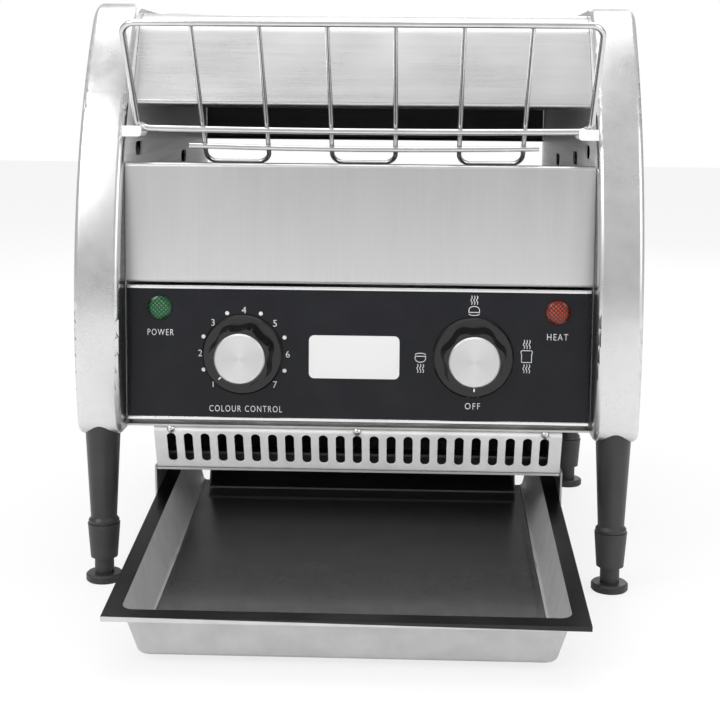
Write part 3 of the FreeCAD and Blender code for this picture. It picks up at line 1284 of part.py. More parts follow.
def rack_point(x, rise, lift):
    """A point of the rack: across, up its slope, and out from the plane of its wires."""
    lean = math.radians(RACK_LEAN)
    step = RACK_BAR_RADIUS + RACK_WIRE_RADIUS - RACK_WELD
    depth = RACK_BAR_DEPTH + (step - lift) * math.cos(lean) - rise * math.sin(lean)
    height = RACK_BAR_HEIGHT + (step - lift) * math.sin(lean) + rise * math.cos(lean)
    return Vector(x + RACK_SHIFT, depth, height)


def rack_frame():
    """Outer frame of the rack: one closed loop of thick wire, its low bar a little bowed."""
    lift = RACK_BAR_RADIUS + RACK_WIRE_RADIUS - RACK_WELD
    turn = math.atan(RACK_BOW / RACK_HALF)
    bow_radius = RACK_BOW_SHARE * RACK_HALF / math.tan(turn)
    places = ((0, -RACK_BOW), (RACK_HALF, 0), (RACK_HALF, RACK_RISE), (-RACK_HALF, RACK_RISE), (-RACK_HALF, 0))
    points = [rack_point(x, rise, lift) for x, rise in places]
    radii = [bow_radius, RACK_BEND, RACK_BEND, RACK_BEND, RACK_BEND]
    edges = rounded_edges(points, radii, True)
    path = Part.Wire(edges)
    start = edges[0].Vertexes[0].Point
    tangent = edges[0].tangentAt(edges[0].FirstParameter)
    ring = Part.Wire(Part.Circle(start, tangent, RACK_BAR_RADIUS).toShape())
    return path.makePipeShell([ring], True, True)


def loading_rack():
    """Wire rack: frame, three hairpins of thinner wire and a tie across them."""
    pieces = [rack_frame()]
    for pair in range(RACK_WIRE_COUNT // 2):
        left = (2 * pair - (RACK_WIRE_COUNT - 1) / 2) * RACK_WIRE_PITCH
        right = left + RACK_WIRE_PITCH
        points = [rack_point(left, RACK_RISE + 1, 0), rack_point(left, -RACK_TAIL, 0),
                  rack_point(right, -RACK_TAIL, 0), rack_point(right, RACK_RISE + 1, 0)]
        pieces.append(bent_wire(points, RACK_WIRE_RADIUS, RACK_BEND))
    lift = RACK_TIE_RADIUS + RACK_WIRE_RADIUS - RACK_WELD
    a = rack_point(-RACK_TIE_HALF, -RACK_TIE_DROP, lift)
    m = rack_point(0, -RACK_TIE_DROP - RACK_BOW * RACK_TIE_HALF / RACK_HALF, lift)
    b = rack_point(RACK_TIE_HALF, -RACK_TIE_DROP, lift)
    arc = Part.Arc(a, m, b).toShape()
    ring = Part.Wire(Part.Circle(a, arc.tangentAt(arc.FirstParameter), RACK_TIE_RADIUS).toShape())
    pieces.append(Part.Wire([arc]).makePipeShell([ring], True, True))
    return pieces[0].multiFuse(pieces[1:])


def cable_gland():
    """Strain relief bush in the rear panel."""
    start = REAR_FACE
    end = GLAND_END
    body = turned_y([(0, TUNNEL_REAR - 2), (GLAND_SPIGOT_RADIUS, TUNNEL_REAR - 2), (GLAND_SPIGOT_RADIUS, start),
                     (GLAND_RADIUS, start), (GLAND_RADIUS, start + 5), (GLAND_RADIUS - 3, end), (0, end)],
                    GLAND_X, GLAND_HEIGHT)
    return body.cut(rod_y(GLAND_BORE, TUNNEL_REAR - 5, end + 1, GLAND_X, GLAND_HEIGHT))


os.makedirs("parts", exist_ok=True)

cover = right_cover()
save(cover, "right_side_cover")
save(mirrored(cover), "left_side_cover")
save(inner_plate(True), "right_inner_plate")
save(mirrored(inner_plate(False)), "left_inner_plate")
save(chassis_plate(), "chassis_plate")
save(front_panel(), "front_panel")
save(control_panel(), "control_panel")
save(control_plate(), "control_plate")
save(badge_plate(), "blank_badge")
save(vent_grille(), "vent_grille")
save(grille_screws(), "grille_screws")
save(cover_screws(), "cover_screws")
save(base_pan(), "base_pan")
save(component_rail(), "component_rail")
save(heat_shield(), "heat_shield")
save(hood(), "hood")
save(upper_reflector(), "upper_reflector")
save(lower_reflector(), "lower_reflector")
save(heaters(UPPER_HEATER_HEIGHT), "upper_heaters")
save(heaters(LOWER_HEATER_HEIGHT), "lower_heaters")
save(heater_holders(), "heater_holders")
save(rear_panel(), "rear_panel")
save(rear_guide(), "rear_guide")
save(slide_plate(), "slide_plate")
save(exit_tray(), "exit_tray")
save(tray_runners(), "tray_runners")
save(conveyor_belt(), "conveyor_belt")
save(belt_sprockets(REAR_SHAFT_DEPTH), "drive_sprockets")
save(belt_sprockets(FRONT_SHAFT_DEPTH), "idler_sprockets")
save(drive_shaft(), "drive_shaft")
save(idler_shaft(), "idler_shaft")
save(shaft_bushes(), "shaft_bushes")
save(chain_sprocket(DRIVE_TEETH, SHAFT_RADIUS, HUB_RADIUS, REAR_SHAFT_DEPTH, SHAFT_HEIGHT), "chain_wheel")
save(chain_sprocket(MOTOR_TEETH, MOTOR_SHAFT_RADIUS, MOTOR_HUB_RADIUS, MOTOR_DEPTH, MOTOR_HEIGHT),
     "motor_sprocket")
save(drive_chain(), "drive_chain")
save(gear_motor(), "gear_motor")
save(motor_shaft(), "motor_shaft")
save(fan_housing(), "fan_housing")
save(fan_impeller(), "fan_impeller")
save(knob(-KNOB_X, DIAL_START), "colour_knob")
save(knob_cap(-KNOB_X), "colour_knob_cap")
save(control_shaft(-KNOB_X), "colour_spindle")
save(speed_control(), "speed_control")
save(knob(KNOB_X, SWITCH_START), "mode_knob")
save(knob_cap(KNOB_X), "mode_knob_cap")
save(control_shaft(KNOB_X), "mode_spindle")
save(mode_switch(), "mode_switch")
save(lamp_lens(-LAMP_X), "power_lamp_lens")
save(lamp_lens(LAMP_X), "heat_lamp_lens")
save(lamp_bodies(), "lamp_bodies")
for side, side_name in ((-1, "left"), (1, "right")):
    for depth, depth_name in ((LEG_FRONT, "front"), (LEG_REAR, "rear")):
        save(leg(side * LEG_X, depth), depth_name + "_" + side_name + "_leg")
        save(foot(side * LEG_X, depth), depth_name + "_" + side_name + "_foot")
save(loading_rack(), "loading_rack")
save(cable_gland(), "cable_gland")
print("overall depth", round(REAR_END - FRONT_END, 1), "origin at depth", round(ORIGIN_DEPTH, 1))
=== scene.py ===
"""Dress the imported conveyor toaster: finishes, lettering and fine pieces, light and camera."""

from __future__ import annotations

import json
import logging
import math
from collections.abc import Callable, Iterable
from dataclasses import dataclass, field
from enum import Enum

import bmesh
import bpy
from mathutils import Matrix, Vector

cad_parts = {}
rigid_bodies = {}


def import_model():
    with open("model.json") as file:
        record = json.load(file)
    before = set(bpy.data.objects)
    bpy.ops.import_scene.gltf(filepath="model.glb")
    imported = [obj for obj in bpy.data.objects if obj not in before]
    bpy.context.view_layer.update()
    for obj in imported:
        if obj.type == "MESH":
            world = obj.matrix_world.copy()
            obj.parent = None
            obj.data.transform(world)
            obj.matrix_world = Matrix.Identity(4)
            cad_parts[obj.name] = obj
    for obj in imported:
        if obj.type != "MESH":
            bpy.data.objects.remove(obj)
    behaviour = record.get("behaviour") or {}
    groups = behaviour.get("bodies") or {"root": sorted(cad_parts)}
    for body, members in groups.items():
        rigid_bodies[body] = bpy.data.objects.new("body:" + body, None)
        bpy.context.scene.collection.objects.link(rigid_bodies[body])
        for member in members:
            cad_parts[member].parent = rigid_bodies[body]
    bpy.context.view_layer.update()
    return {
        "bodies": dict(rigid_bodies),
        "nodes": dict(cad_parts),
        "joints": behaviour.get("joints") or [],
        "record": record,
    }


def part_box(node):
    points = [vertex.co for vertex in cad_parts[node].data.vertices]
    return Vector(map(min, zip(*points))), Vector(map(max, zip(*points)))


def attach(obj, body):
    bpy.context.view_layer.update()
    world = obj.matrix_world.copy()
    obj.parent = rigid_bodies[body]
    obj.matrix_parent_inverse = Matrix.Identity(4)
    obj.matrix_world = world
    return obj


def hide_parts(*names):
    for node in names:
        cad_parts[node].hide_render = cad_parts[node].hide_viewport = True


LOG = logging.getLogger("toaster")
MM = 0.001
WELD = 0.002 * MM
BRIGHTEST = 0.97

Colour = tuple[float, float, float]
Strokes = list[bpy.types.Object]


class Along(Enum):
    """Direction in which a metal surface is brushed."""

    ACROSS = (0.02, 1.0, 1.0)
    DEPTH = (1.0, 0.02, 1.0)
    UPRIGHT = (1.0, 1.0, 0.02)


class Light(Enum):
    """Levels of the studio light, in watts."""

    KEY = 22.0
    FILL = 9.0
    TOP = 16.0
    BACK = 8.0


def grey(level: float) -> Colour:
    """Return a neutral colour of one level."""
    return (level, level, level)


def scaled(tone: Colour, factor: float, top: float = 1.0) -> Colour:
    """Return a colour made lighter or darker.

    Args:
        tone: The colour.
        factor: What every channel is multiplied by.
        top: Highest level that a channel may reach.

    Returns:
        The new colour.
    """
    return tuple(min(value * factor, top) for value in tone)


def middle_of(node: str) -> Vector:
    """Return the middle of a CAD node's box."""
    low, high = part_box(node)
    return (Vector(low) + Vector(high)) / 2


def publish(name: str, data: bpy.types.ID) -> bpy.types.Object:
    """Put a mesh, a curve, a lamp or a camera into the scene as an object at the origin.

    Args:
        name: Name of the object.
        data: What it shows.

    Returns:
        The new object.
    """
    piece = bpy.data.objects.new(name, data)
    bpy.context.scene.collection.objects.link(piece)
    return piece


def flattened(piece: bpy.types.Object) -> bpy.types.Mesh:
    """Return the mesh of a curve or text object, and remove the object.

    Args:
        piece: The curve or text object.

    Returns:
        Its mesh.
    """
    bpy.context.view_layer.update()
    data = bpy.data.meshes.new_from_object(piece.evaluated_get(bpy.context.evaluated_depsgraph_get()))
    bpy.data.objects.remove(piece)
    return data


class Recipe:
    """Node tree of one material, with short ways to add the usual nodes."""

    def __init__(self, name: str) -> None:
        """Start a material that has a Principled shader and an output.

        Args:
            name: Name of the material.
        """
        self.material = bpy.data.materials.new(name)
        self.material.use_nodes = True
        self.tree = self.material.node_tree
        self.tree.nodes.clear()
        self.shader = self.tree.nodes.new("ShaderNodeBsdfPrincipled")
        output = self.tree.nodes.new("ShaderNodeOutputMaterial")
        self.link(self.shader.outputs["BSDF"], output.inputs["Surface"])
        self.place = self.tree.nodes.new("ShaderNodeTexCoord").outputs["Object"]

    def link(self, source: bpy.types.NodeSocket, target: bpy.types.NodeSocket) -> None:
        """Join an output socket to an input socket."""
        self.tree.links.new(source, target)

    def add(self, kind: str) -> bpy.types.Node:
        """Add a node of a kind, named as Blender names its type."""
        return self.tree.nodes.new(kind)

    def set(self, **values: object) -> None:
        """Set constant sockets of the shader, with underscores for spaces in their names."""
        for key, value in values.items():
            socket = self.shader.inputs[key.replace("_", " ")]
            socket.default_value = (*value, 1.0) if isinstance(value, tuple) and len(value) == 3 else value

    def mapped(self, scale: Iterable[float], shift: Iterable[float] = (0, 0, 0),
               turn: Iterable[float] = (0, 0, 0)) -> bpy.types.NodeSocket:
        """Return Object coordinates moved, turned and stretched.

        Args:
            scale: Stretch along each axis.
            shift: Place, in metres, that becomes the centre.
            turn: Turn about each axis, in radians.

        Returns:
            The vector socket.
        """
        move = self.add("ShaderNodeMapping")
        move.inputs["Location"].default_value = [-value for value in shift]
        self.link(self.place, move.inputs["Vector"])
        node = self.add("ShaderNodeMapping")
        node.inputs["Rotation"].default_value = tuple(turn)
        node.inputs["Scale"].default_value = tuple(scale)
        self.link(move.outputs["Vector"], node.inputs["Vector"])
        return node.outputs["Vector"]

    def noise(self, vector: bpy.types.NodeSocket, scale: float, detail: float = 4.0,
              roughness: float = 0.55) -> bpy.types.NodeSocket:
        """Return a noise value on a vector.

        Args:
            vector: Where the noise is read.
            scale: Repeats in a metre.
            detail: Number of finer layers.
            roughness: Share of the finer layers.

        Returns:
            The value socket.
        """
        node = self.add("ShaderNodeTexNoise")
        node.inputs["Scale"].default_value = scale
        node.inputs["Detail"].default_value = detail
        node.inputs["Roughness"].default_value = roughness
        self.link(vector, node.inputs["Vector"])
        return node.outputs["Fac"]

    def spread(self, value: bpy.types.NodeSocket, low: float, high: float,
               start: float = 0.3, end: float = 0.7) -> bpy.types.NodeSocket:
        """Map a part of a value's range on to another range.

        Args:
            value: The value.
            low: What the start becomes.
            high: What the end becomes.
            start: Start of the part that is mapped.
            end: End of the part that is mapped.

        Returns:
            The new value, held between low and high.
        """
        node = self.add("ShaderNodeMapRange")
        node.inputs["From Min"].default_value = start
        node.inputs["From Max"].default_value = end
        node.inputs["To Min"].default_value = low
        node.inputs["To Max"].default_value = high
        self.link(value, node.inputs["Value"])
        return node.outputs["Result"]

    def blend(self, share: bpy.types.NodeSocket, first: Colour, second: Colour) -> bpy.types.NodeSocket:
        """Return a colour between two.

        Args:
            share: Share of the second colour, from 0 to 1.
            first: Colour at 0.
            second: Colour at 1.

        Returns:
            The colour socket.
        """
        node = self.add("ShaderNodeMix")
        node.data_type = "RGBA"
        inputs = [socket for socket in node.inputs if socket.type == "RGBA"]
        inputs[0].default_value = (*first, 1.0)
        inputs[1].default_value = (*second, 1.0)
        self.link(share, node.inputs["Factor"])
        return [socket for socket in node.outputs if socket.type == "RGBA"][0]

    def maths(self, operation: str, first: bpy.types.NodeSocket,
              second: bpy.types.NodeSocket | float = 0.0) -> bpy.types.NodeSocket:
        """Return a sum, a product or another function of one or two values.

        Args:
            operation: What is worked out, as a Math node names it.
            first: The first value.
            second: The second value, where there is one.

        Returns:
            The value socket.
        """
        node = self.add("ShaderNodeMath")
        node.operation = operation
        self.link(first, node.inputs[0])
        if isinstance(second, float):
            node.inputs[1].default_value = second
        else:
            self.link(second, node.inputs[1])
        return node.outputs[0]

    def bump(self, height: bpy.types.NodeSocket, distance: float) -> None:
        """Raise the surface.

        Args:
            height: Height as a share of the distance.
            distance: Height, in metres, at a share of 1.
        """
        node = self.add("ShaderNodeBump")
        node.inputs["Distance"].default_value = distance
        node.inputs["Strength"].default_value = 1.0
        self.link(height, node.inputs["Height"])
        self.link(node.outputs["Normal"], self.shader.inputs["Normal"])


@dataclass(frozen=True)
class BrushedMetal:
    """Sheet metal with fine parallel grinding marks and faint handling marks."""

    name: str
    tone: Colour
    along: Along
    roughness: float = 0.34
    contrast: float = 0.10
    depth: float = 0.000015
    grain: float = 1400.0
    smudge: float = 0.06
    fine_share: float = 0.6
    broader: float = 9.0
    ripple: float = 0.04
    patch_scale: float = 14.0

    def build(self) -> bpy.types.Material:
        """Return the finished material."""
        recipe = Recipe(self.name)
        recipe.set(Metallic=1.0)
        lines = recipe.mapped(self.along.value)
        fine = recipe.noise(lines, self.grain, 6.0, 0.7)
        broad = recipe.noise(lines, self.grain / self.broader, 3.0)
        mixed = recipe.maths("ADD", recipe.maths("MULTIPLY", fine, self.fine_share),
                             recipe.maths("MULTIPLY", broad, 1 - self.fine_share))
        dark = scaled(self.tone, 1 - self.contrast)
        light = scaled(self.tone, 1 + self.contrast, BRIGHTEST)
        colour = recipe.blend(recipe.spread(mixed, 0.0, 1.0, 0.35, 0.65), dark, light)
        recipe.link(colour, recipe.shader.inputs["Base Color"])
        marks = recipe.noise(recipe.mapped((1, 1, 1)), self.patch_scale, 3.0)
        rough = recipe.maths("ADD", recipe.spread(mixed, -self.ripple, self.ripple),
                             recipe.spread(marks, self.roughness - self.smudge, self.roughness + self.smudge))
        recipe.link(rough, recipe.shader.inputs["Roughness"])
        recipe.bump(fine, self.depth)
        return recipe.material


@dataclass(frozen=True)
class PlainMetal:
    """Turned, drawn or plated metal with small pits and dull patches."""

    name: str
    tone: Colour
    roughness: float = 0.25
    patches: float = 0.08
    pits: float = 0.000008
    scale: float = 900.0
    metallic: float = 1.0
    shade: float = 0.86
    cloud_scale: float = 60.0

    def build(self) -> bpy.types.Material:
        """Return the finished material."""
        recipe = Recipe(self.name)
        recipe.set(Metallic=self.metallic)
        even = recipe.mapped((1, 1, 1))
        cloud = recipe.noise(even, self.cloud_scale)
        recipe.link(recipe.blend(recipe.spread(cloud, 0.0, 1.0), scaled(self.tone, self.shade), self.tone),
                    recipe.shader.inputs["Base Color"])
        recipe.link(recipe.spread(cloud, self.roughness + self.patches, self.roughness),
                    recipe.shader.inputs["Roughness"])
        recipe.bump(recipe.noise(even, self.scale, 3.0), self.pits)
        return recipe.material


@dataclass(frozen=True)
class WallMetal:
    """Mill finished wall sheet with a painted dark reflection beside the front panel.

    Attributes:
        name: Name of the material.
        tone: Colour of the sheet.
        shade: Colour of the painted dark reflection, also taken by faint random stains.
        level: Height, in metres, at which the painted dark reflection ends.
        front: Depth, in metres, at which the painted dark reflection ends.
    """

    name: str
    tone: Colour
    shade: Colour
    level: float
    front: float
    metallic: float = 0.15
    blur: float = 0.5 * MM
    stain: float = 0.12
    grain: float = 500.0

    def build(self) -> bpy.types.Material:
        """Return the finished material."""
        recipe = Recipe(self.name)
        recipe.set(Metallic=self.metallic)
        split = recipe.add("ShaderNodeSeparateXYZ")
        recipe.link(recipe.place, split.inputs[0])
        # Painted dark reflection: the sheet below the top of the front panel and in front of it is coloured
        # near black; the noise adds faint real stains.
        low = recipe.spread(split.outputs["Z"], 1.0, 0.0, self.level - self.blur, self.level + self.blur)
        near = recipe.spread(split.outputs["Y"], 1.0, 0.0, self.front - self.blur, self.front + self.blur)
        marks = recipe.noise(recipe.mapped(Along.DEPTH.value), self.grain)
        share = recipe.maths("MAXIMUM", recipe.maths("MULTIPLY", low, near),
                             recipe.spread(marks, 0.0, self.stain))
        recipe.link(recipe.blend(share, self.tone, self.shade), recipe.shader.inputs["Base Color"])
        recipe.link(recipe.spread(marks, 0.30, 0.40), recipe.shader.inputs["Roughness"])
        recipe.bump(marks, 0.000008)
        return recipe.material


@dataclass(frozen=True)
class SpunMetal:
    """Face of a knob cap, turned in fine rings about its own axis, with a painted sheen in two bright and two
    dark bands.
    """

    name: str
    tone: Colour
    centre: Vector
    pitch: float = 0.6 * MM
    relief: float = 0.03 * MM
    # shade sets how dark the painted sheen's dark bands are.
    shade: float = 0.80

    def build(self) -> bpy.types.Material:
        """Return the finished material."""
        recipe = Recipe(self.name)
        recipe.set(Metallic=1.0)
        local = recipe.mapped((1, 0, 1), self.centre)
        length = recipe.add("ShaderNodeVectorMath")
        length.operation = "LENGTH"
        recipe.link(local, length.inputs[0])
        turns = recipe.maths("MULTIPLY", length.outputs["Value"], math.tau / self.pitch)
        rings = recipe.maths("SINE", turns)
        split = recipe.add("ShaderNodeSeparateXYZ")
        recipe.link(local, split.inputs[0])
        # Painted sheen: the colour turns lighter and darker twice round the axis, standing in for the
        # highlight on the turned rings.
        angle = recipe.maths("ARCTAN2", split.outputs["X"], split.outputs["Z"])
        sheen = recipe.maths("COSINE", recipe.maths("MULTIPLY", angle, 2.0))
        dark = scaled(self.tone, self.shade)
        recipe.link(recipe.blend(recipe.spread(sheen, 0.15, 1.0, -1.0, 1.0), dark, self.tone),
                    recipe.shader.inputs["Base Color"])
        recipe.link(recipe.spread(rings, 0.30, 0.42, -1.0, 1.0), recipe.shader.inputs["Roughness"])
        recipe.bump(recipe.spread(rings, 0.0, 1.0, -1.0, 1.0), self.relief)
        return recipe.material


@dataclass(frozen=True)
class Moulded:
    """Plastic, enamel or ceramic with a fine surface grain and faint dust."""

    name: str
    tone: Colour
    roughness: float = 0.4
    specular: float = 0.5
    grain: float = 2600.0
    height: float = 0.00001
    dust: float = 0.03
    coat: float = 0.0
    coat_roughness: float = 0.08
    cloud_scale: float = 35.0

    def build(self) -> bpy.types.Material:
        """Return the finished material."""
        recipe = Recipe(self.name)
        recipe.set(Specular_IOR_Level=self.specular, Coat_Weight=self.coat,
                   Coat_Roughness=self.coat_roughness)
        even = recipe.mapped((1, 1, 1))
        cloud = recipe.noise(even, self.cloud_scale, 5.0)
        light = tuple(min(value + self.dust * (1 - value) * 0.5, 1.0) for value in self.tone)
        recipe.link(recipe.blend(recipe.spread(cloud, 0.0, 1.0, 0.4, 0.8), self.tone, light),
                    recipe.shader.inputs["Base Color"])
        recipe.link(recipe.spread(cloud, self.roughness - self.dust, self.roughness + self.dust),
                    recipe.shader.inputs["Roughness"])
        recipe.bump(recipe.noise(even, self.grain, 2.0), self.height)
        return recipe.material


@dataclass(frozen=True)
class LensPlastic:
    """Coloured lens with a diamond pattern pressed into its middle."""

    name: str
    deep: Colour
    bright: Colour
    centre: Vector
    pitch: float = 2.0 * MM
    window: float = 5.8 * MM
    blur: float = 0.6 * MM
    relief: float = 0.3 * MM
    rim_share: float = 0.2
    glow: float = 0.08

    def build(self) -> bpy.types.Material:
        """Return the finished material."""
        recipe = Recipe(self.name)
        recipe.set(Roughness=0.16, Specular_IOR_Level=0.5, Coat_Weight=0.15)
        local = recipe.mapped((1, 1, 1), self.centre, (0, math.radians(45), 0))
        split = recipe.add("ShaderNodeSeparateXYZ")
        recipe.link(local, split.inputs[0])
        waves = []
        for axis in ("X", "Z"):
            turn = recipe.maths("MULTIPLY", split.outputs[axis], math.tau / self.pitch)
            waves.append(recipe.spread(recipe.maths("COSINE", turn), 0.0, 1.0, -1.0, 1.0))
        away = [recipe.maths("MULTIPLY", split.outputs[axis], split.outputs[axis]) for axis in ("X", "Z")]
        radius = recipe.maths("SQRT", recipe.maths("ADD", away[0], away[1]))
        middle = recipe.spread(radius, 1.0, self.rim_share, self.window - self.blur, self.window + self.blur)
        cells = recipe.maths("MULTIPLY", recipe.maths("MULTIPLY", waves[0], waves[1]), middle)
        recipe.link(recipe.blend(recipe.spread(cells, 0.0, 1.0, 0.0, 0.8), self.deep, self.bright),
                    recipe.shader.inputs["Base Color"])
        recipe.link(recipe.blend(recipe.spread(cells, 0.0, 1.0, 0.2, 1.0), grey(0.0), self.bright),
                    recipe.shader.inputs["Emission Color"])
        recipe.set(Emission_Strength=self.glow)
        recipe.bump(cells, self.relief)
        return recipe.material


@dataclass(frozen=True)
class QuartzGlass:
    """Milky quartz tube with fine draw lines along it."""

    name: str
    tone: Colour
    paler: float = 1.12
    draw_depth: float = 0.02 * MM

    def build(self) -> bpy.types.Material:
        """Return the finished material."""
        recipe = Recipe(self.name)
        recipe.set(IOR=1.3, Transmission_Weight=0.7, Specular_IOR_Level=0.5)
        lines = recipe.noise(recipe.mapped((0.02, 1, 1)), 900.0, 3.0)
        cloud = recipe.noise(recipe.mapped((0.3, 1, 1)), 60.0, 3.0)
        recipe.link(recipe.blend(recipe.spread(cloud, 0.0, 1.0), self.tone, scaled(self.tone, self.paler)),
                    recipe.shader.inputs["Base Color"])
        recipe.link(recipe.spread(cloud, 0.12, 0.3), recipe.shader.inputs["Roughness"])
        recipe.bump(lines, self.draw_depth)
        return recipe.material


class Shaper:
    """Small mesh that is shaped with bmesh operators and then becomes an object."""

    def __init__(self) -> None:
        """Start with an empty mesh."""
        self.mesh = bmesh.new()

    def disc(self, radius: float, depth: float, centre: Vector, sides: int = 24) -> None:
        """Add a short cylinder whose axis runs into the machine.

        Args:
            radius: Its radius.
            depth: Its length.
            centre: Middle of its rear face.
            sides: Number of its sides.
        """
        made = bmesh.ops.create_cone(self.mesh, cap_ends=True, segments=sides, radius1=radius,
                                     radius2=radius, depth=depth)["verts"]
        place = Matrix.Translation(centre - Vector((0, depth / 2, 0)))
        bmesh.ops.transform(self.mesh, matrix=place @ Matrix.Rotation(math.radians(90), 4, "X"), verts=made)

    def block(self, size: Vector, centre: Vector) -> None:
        """Add a block.

        Args:
            size: Its width, depth and height.
            centre: Its middle.
        """
        made = bmesh.ops.create_cube(self.mesh, size=1.0)["verts"]
        bmesh.ops.scale(self.mesh, vec=size, verts=made)
        bmesh.ops.translate(self.mesh, vec=centre, verts=made)

    def soften(self, width: float, segments: int = 2) -> None:
        """Bevel every sharp edge of the mesh.

        Args:
            width: Width of the bevel.
            segments: Number of its steps.
        """
        sharp = [edge for edge in self.mesh.edges if edge.calc_face_angle(0.0) > math.radians(35)]
        bmesh.ops.bevel(self.mesh, geom=sharp, offset=width, segments=segments, profile=0.5,
                        affect="EDGES", material=-1, clamp_overlap=True)

    def finish(self, name: str, material: bpy.types.Material, smooth_limit: float = 35.0) -> bpy.types.Object:
        """Turn the mesh into an object at the origin.

        Args:
            name: Name of the piece.
            material: Its finish.
            smooth_limit: Edges sharper than this angle, in degrees, stay crisp.

        Returns:
            The new object.
        """
        bmesh.ops.remove_doubles(self.mesh, verts=self.mesh.verts, dist=WELD / 2)
        bmesh.ops.recalc_face_normals(self.mesh, faces=self.mesh.faces)
        crisp(self.mesh, smooth_limit)
        return release(self.mesh, name, material)


def crisp(mesh: bmesh.types.BMesh, limit: float) -> None:
    """Shade a mesh smooth, apart from its sharper edges.

    Args:
        mesh: The mesh.
        limit: Edges sharper than this angle, in degrees, stay crisp.
    """
    for face in mesh.faces:
        face.smooth = True
    for edge in mesh.edges:
        edge.smooth = edge.calc_face_angle(math.pi) < math.radians(limit)


def release(mesh: bmesh.types.BMesh, name: str, material: bpy.types.Material) -> bpy.types.Object:
    """Turn a mesh into an object and free it.

    Args:
        mesh: The mesh.
        name: Name of the object.
        material: Its finish.

    Returns:
        The new object.
    """
    data = bpy.data.meshes.new(name)
    mesh.to_mesh(data)
    mesh.free()
    data.materials.append(material)
    return publish(name, data)


def smooth_copy(frame: dict, node: str, material: bpy.types.Material,
                limit: float = 28.0) -> bpy.types.Object:
    """Replace a CAD node by a welded copy of itself with smooth curves.

    Args:
        frame: The loaded frame.
        node: Name of the CAD node.
        material: Finish of the copy.
        limit: Edges sharper than this angle, in degrees, stay crisp.

    Returns:
        The copy.
    """
    source = frame["nodes"][node]
    mesh = bmesh.new()
    mesh.from_mesh(source.data)
    bmesh.ops.remove_doubles(mesh, verts=mesh.verts, dist=WELD)
    crisp(mesh, limit)
    piece = release(mesh, node + "_dressed", material)
    body = next(name for name, nodes in frame["record"]["behaviour"]["bodies"].items() if node in nodes)
    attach(piece, body)
    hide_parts(node)
    LOG.info("dressed %s", node)
    return piece


def refinish(piece: bpy.types.Object, material: bpy.types.Material,
             chosen: Callable[[bpy.types.MeshPolygon], bool]) -> None:
    """Give the chosen faces of a piece a second finish.

    Args:
        piece: The piece.
        material: Its second finish.
        chosen: Whether a face takes the second finish.
    """
    piece.data.materials.append(material)
    last = len(piece.data.materials) - 1
    for face in piece.data.polygons:
        if chosen(face):
            face.material_index = last
    LOG.info("refinished %s", piece.name)


def paint(frame: dict, node: str, material: bpy.types.Material) -> None:
    """Give a CAD node its finish.

    Args:
        frame: The loaded frame.
        node: Name of the CAD node.
        material: Its finish.
    """
    data = frame["nodes"][node].data
    data.materials.clear()
    data.materials.append(material)
    LOG.info("painted %s", node)


def add_piece(piece: bpy.types.Object, body: str) -> None:
    """Let a new piece ride on a body.

    Args:
        piece: The new piece.
        body: Name of the body.
    """
    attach(piece, body)
    LOG.info("added %s", piece.name)


@dataclass
class Housing:
    """Side covers, hood, front panel, grille and the sheets behind them."""

    frame: dict
    cover_tone: Colour = grey(0.66)
    panel_tone: Colour = grey(0.62)
    inner_tone: Colour = grey(0.96)

    def dress(self) -> None:
        """Give every sheet its brushed or plain finish."""
        covers = BrushedMetal("satin_cover", self.cover_tone, Along.DEPTH, 0.30, 0.05, grain=1100.0).build()
        hood = BrushedMetal("satin_hood", self.cover_tone, Along.ACROSS, 0.30, 0.05).build()
        panel = BrushedMetal("brushed_panel", self.panel_tone, Along.UPRIGHT, 0.36, 0.03, 0.000003,
                             grain=900.0, smudge=0.02).build()
        grille = PlainMetal("satin_grille", grey(0.96), 0.55, 0.03, metallic=0.15).build()
        trim = BrushedMetal("bright_trim", grey(0.80), Along.ACROSS, 0.22, 0.04).build()
        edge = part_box("front_panel")
        # grey(0.03) is the painted dark reflection on the inner plates beside the front panel.
        inner = WallMetal("wall_steel", self.inner_tone, grey(0.03), edge[1][2], edge[0][1]).build()
        liner = BrushedMetal("liner_steel", grey(0.30), Along.ACROSS, 0.40, 0.10).build()
        # Painted shade: the inner faces of the hood are coloured near black.
        painted_hood_shade = BrushedMetal("hood_inside_painted_shade", grey(0.10), Along.ACROSS, 0.45, 0.15).build()
        zinc = PlainMetal("zinc_plate", (0.58, 0.59, 0.57), 0.38, 0.10, scale=300.0).build()
        for node in ("right_side_cover", "left_side_cover"):
            smooth_copy(self.frame, node, covers)
        roof = smooth_copy(self.frame, "hood", hood)
        low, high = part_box("hood")
        middle = Vector((0, (low[1] + high[1]) / 2, low[2]))
        # The faces of the hood that face inwards take the painted shade.
        refinish(roof, painted_hood_shade, lambda face: face.normal.dot(face.center - middle) < 0)
        smooth_copy(self.frame, "front_panel", panel)
        smooth_copy(self.frame, "rear_panel", panel)
        smooth_copy(self.frame, "vent_grille", grille)
        smooth_copy(self.frame, "control_panel", trim)
        for node in ("right_inner_plate", "left_inner_plate"):
            smooth_copy(self.frame, node, inner)
        for node in ("heat_shield", "upper_reflector", "lower_reflector", "rear_guide", "slide_plate"):
            smooth_copy(self.frame, node, liner)
        for node in ("chassis_plate", "base_pan", "tray_runners"):
            paint(self.frame, node, zinc)
        paint(self.frame, "component_rail", PlainMetal("dark_rail", grey(0.10), 0.42).build())

    def dress_screws(self) -> None:
        """Plate the screws."""
        plated = PlainMetal("plated_screw", grey(0.74), 0.20, 0.05).build()
        for node in ("grille_screws", "cover_screws"):
            smooth_copy(self.frame, node, plated)


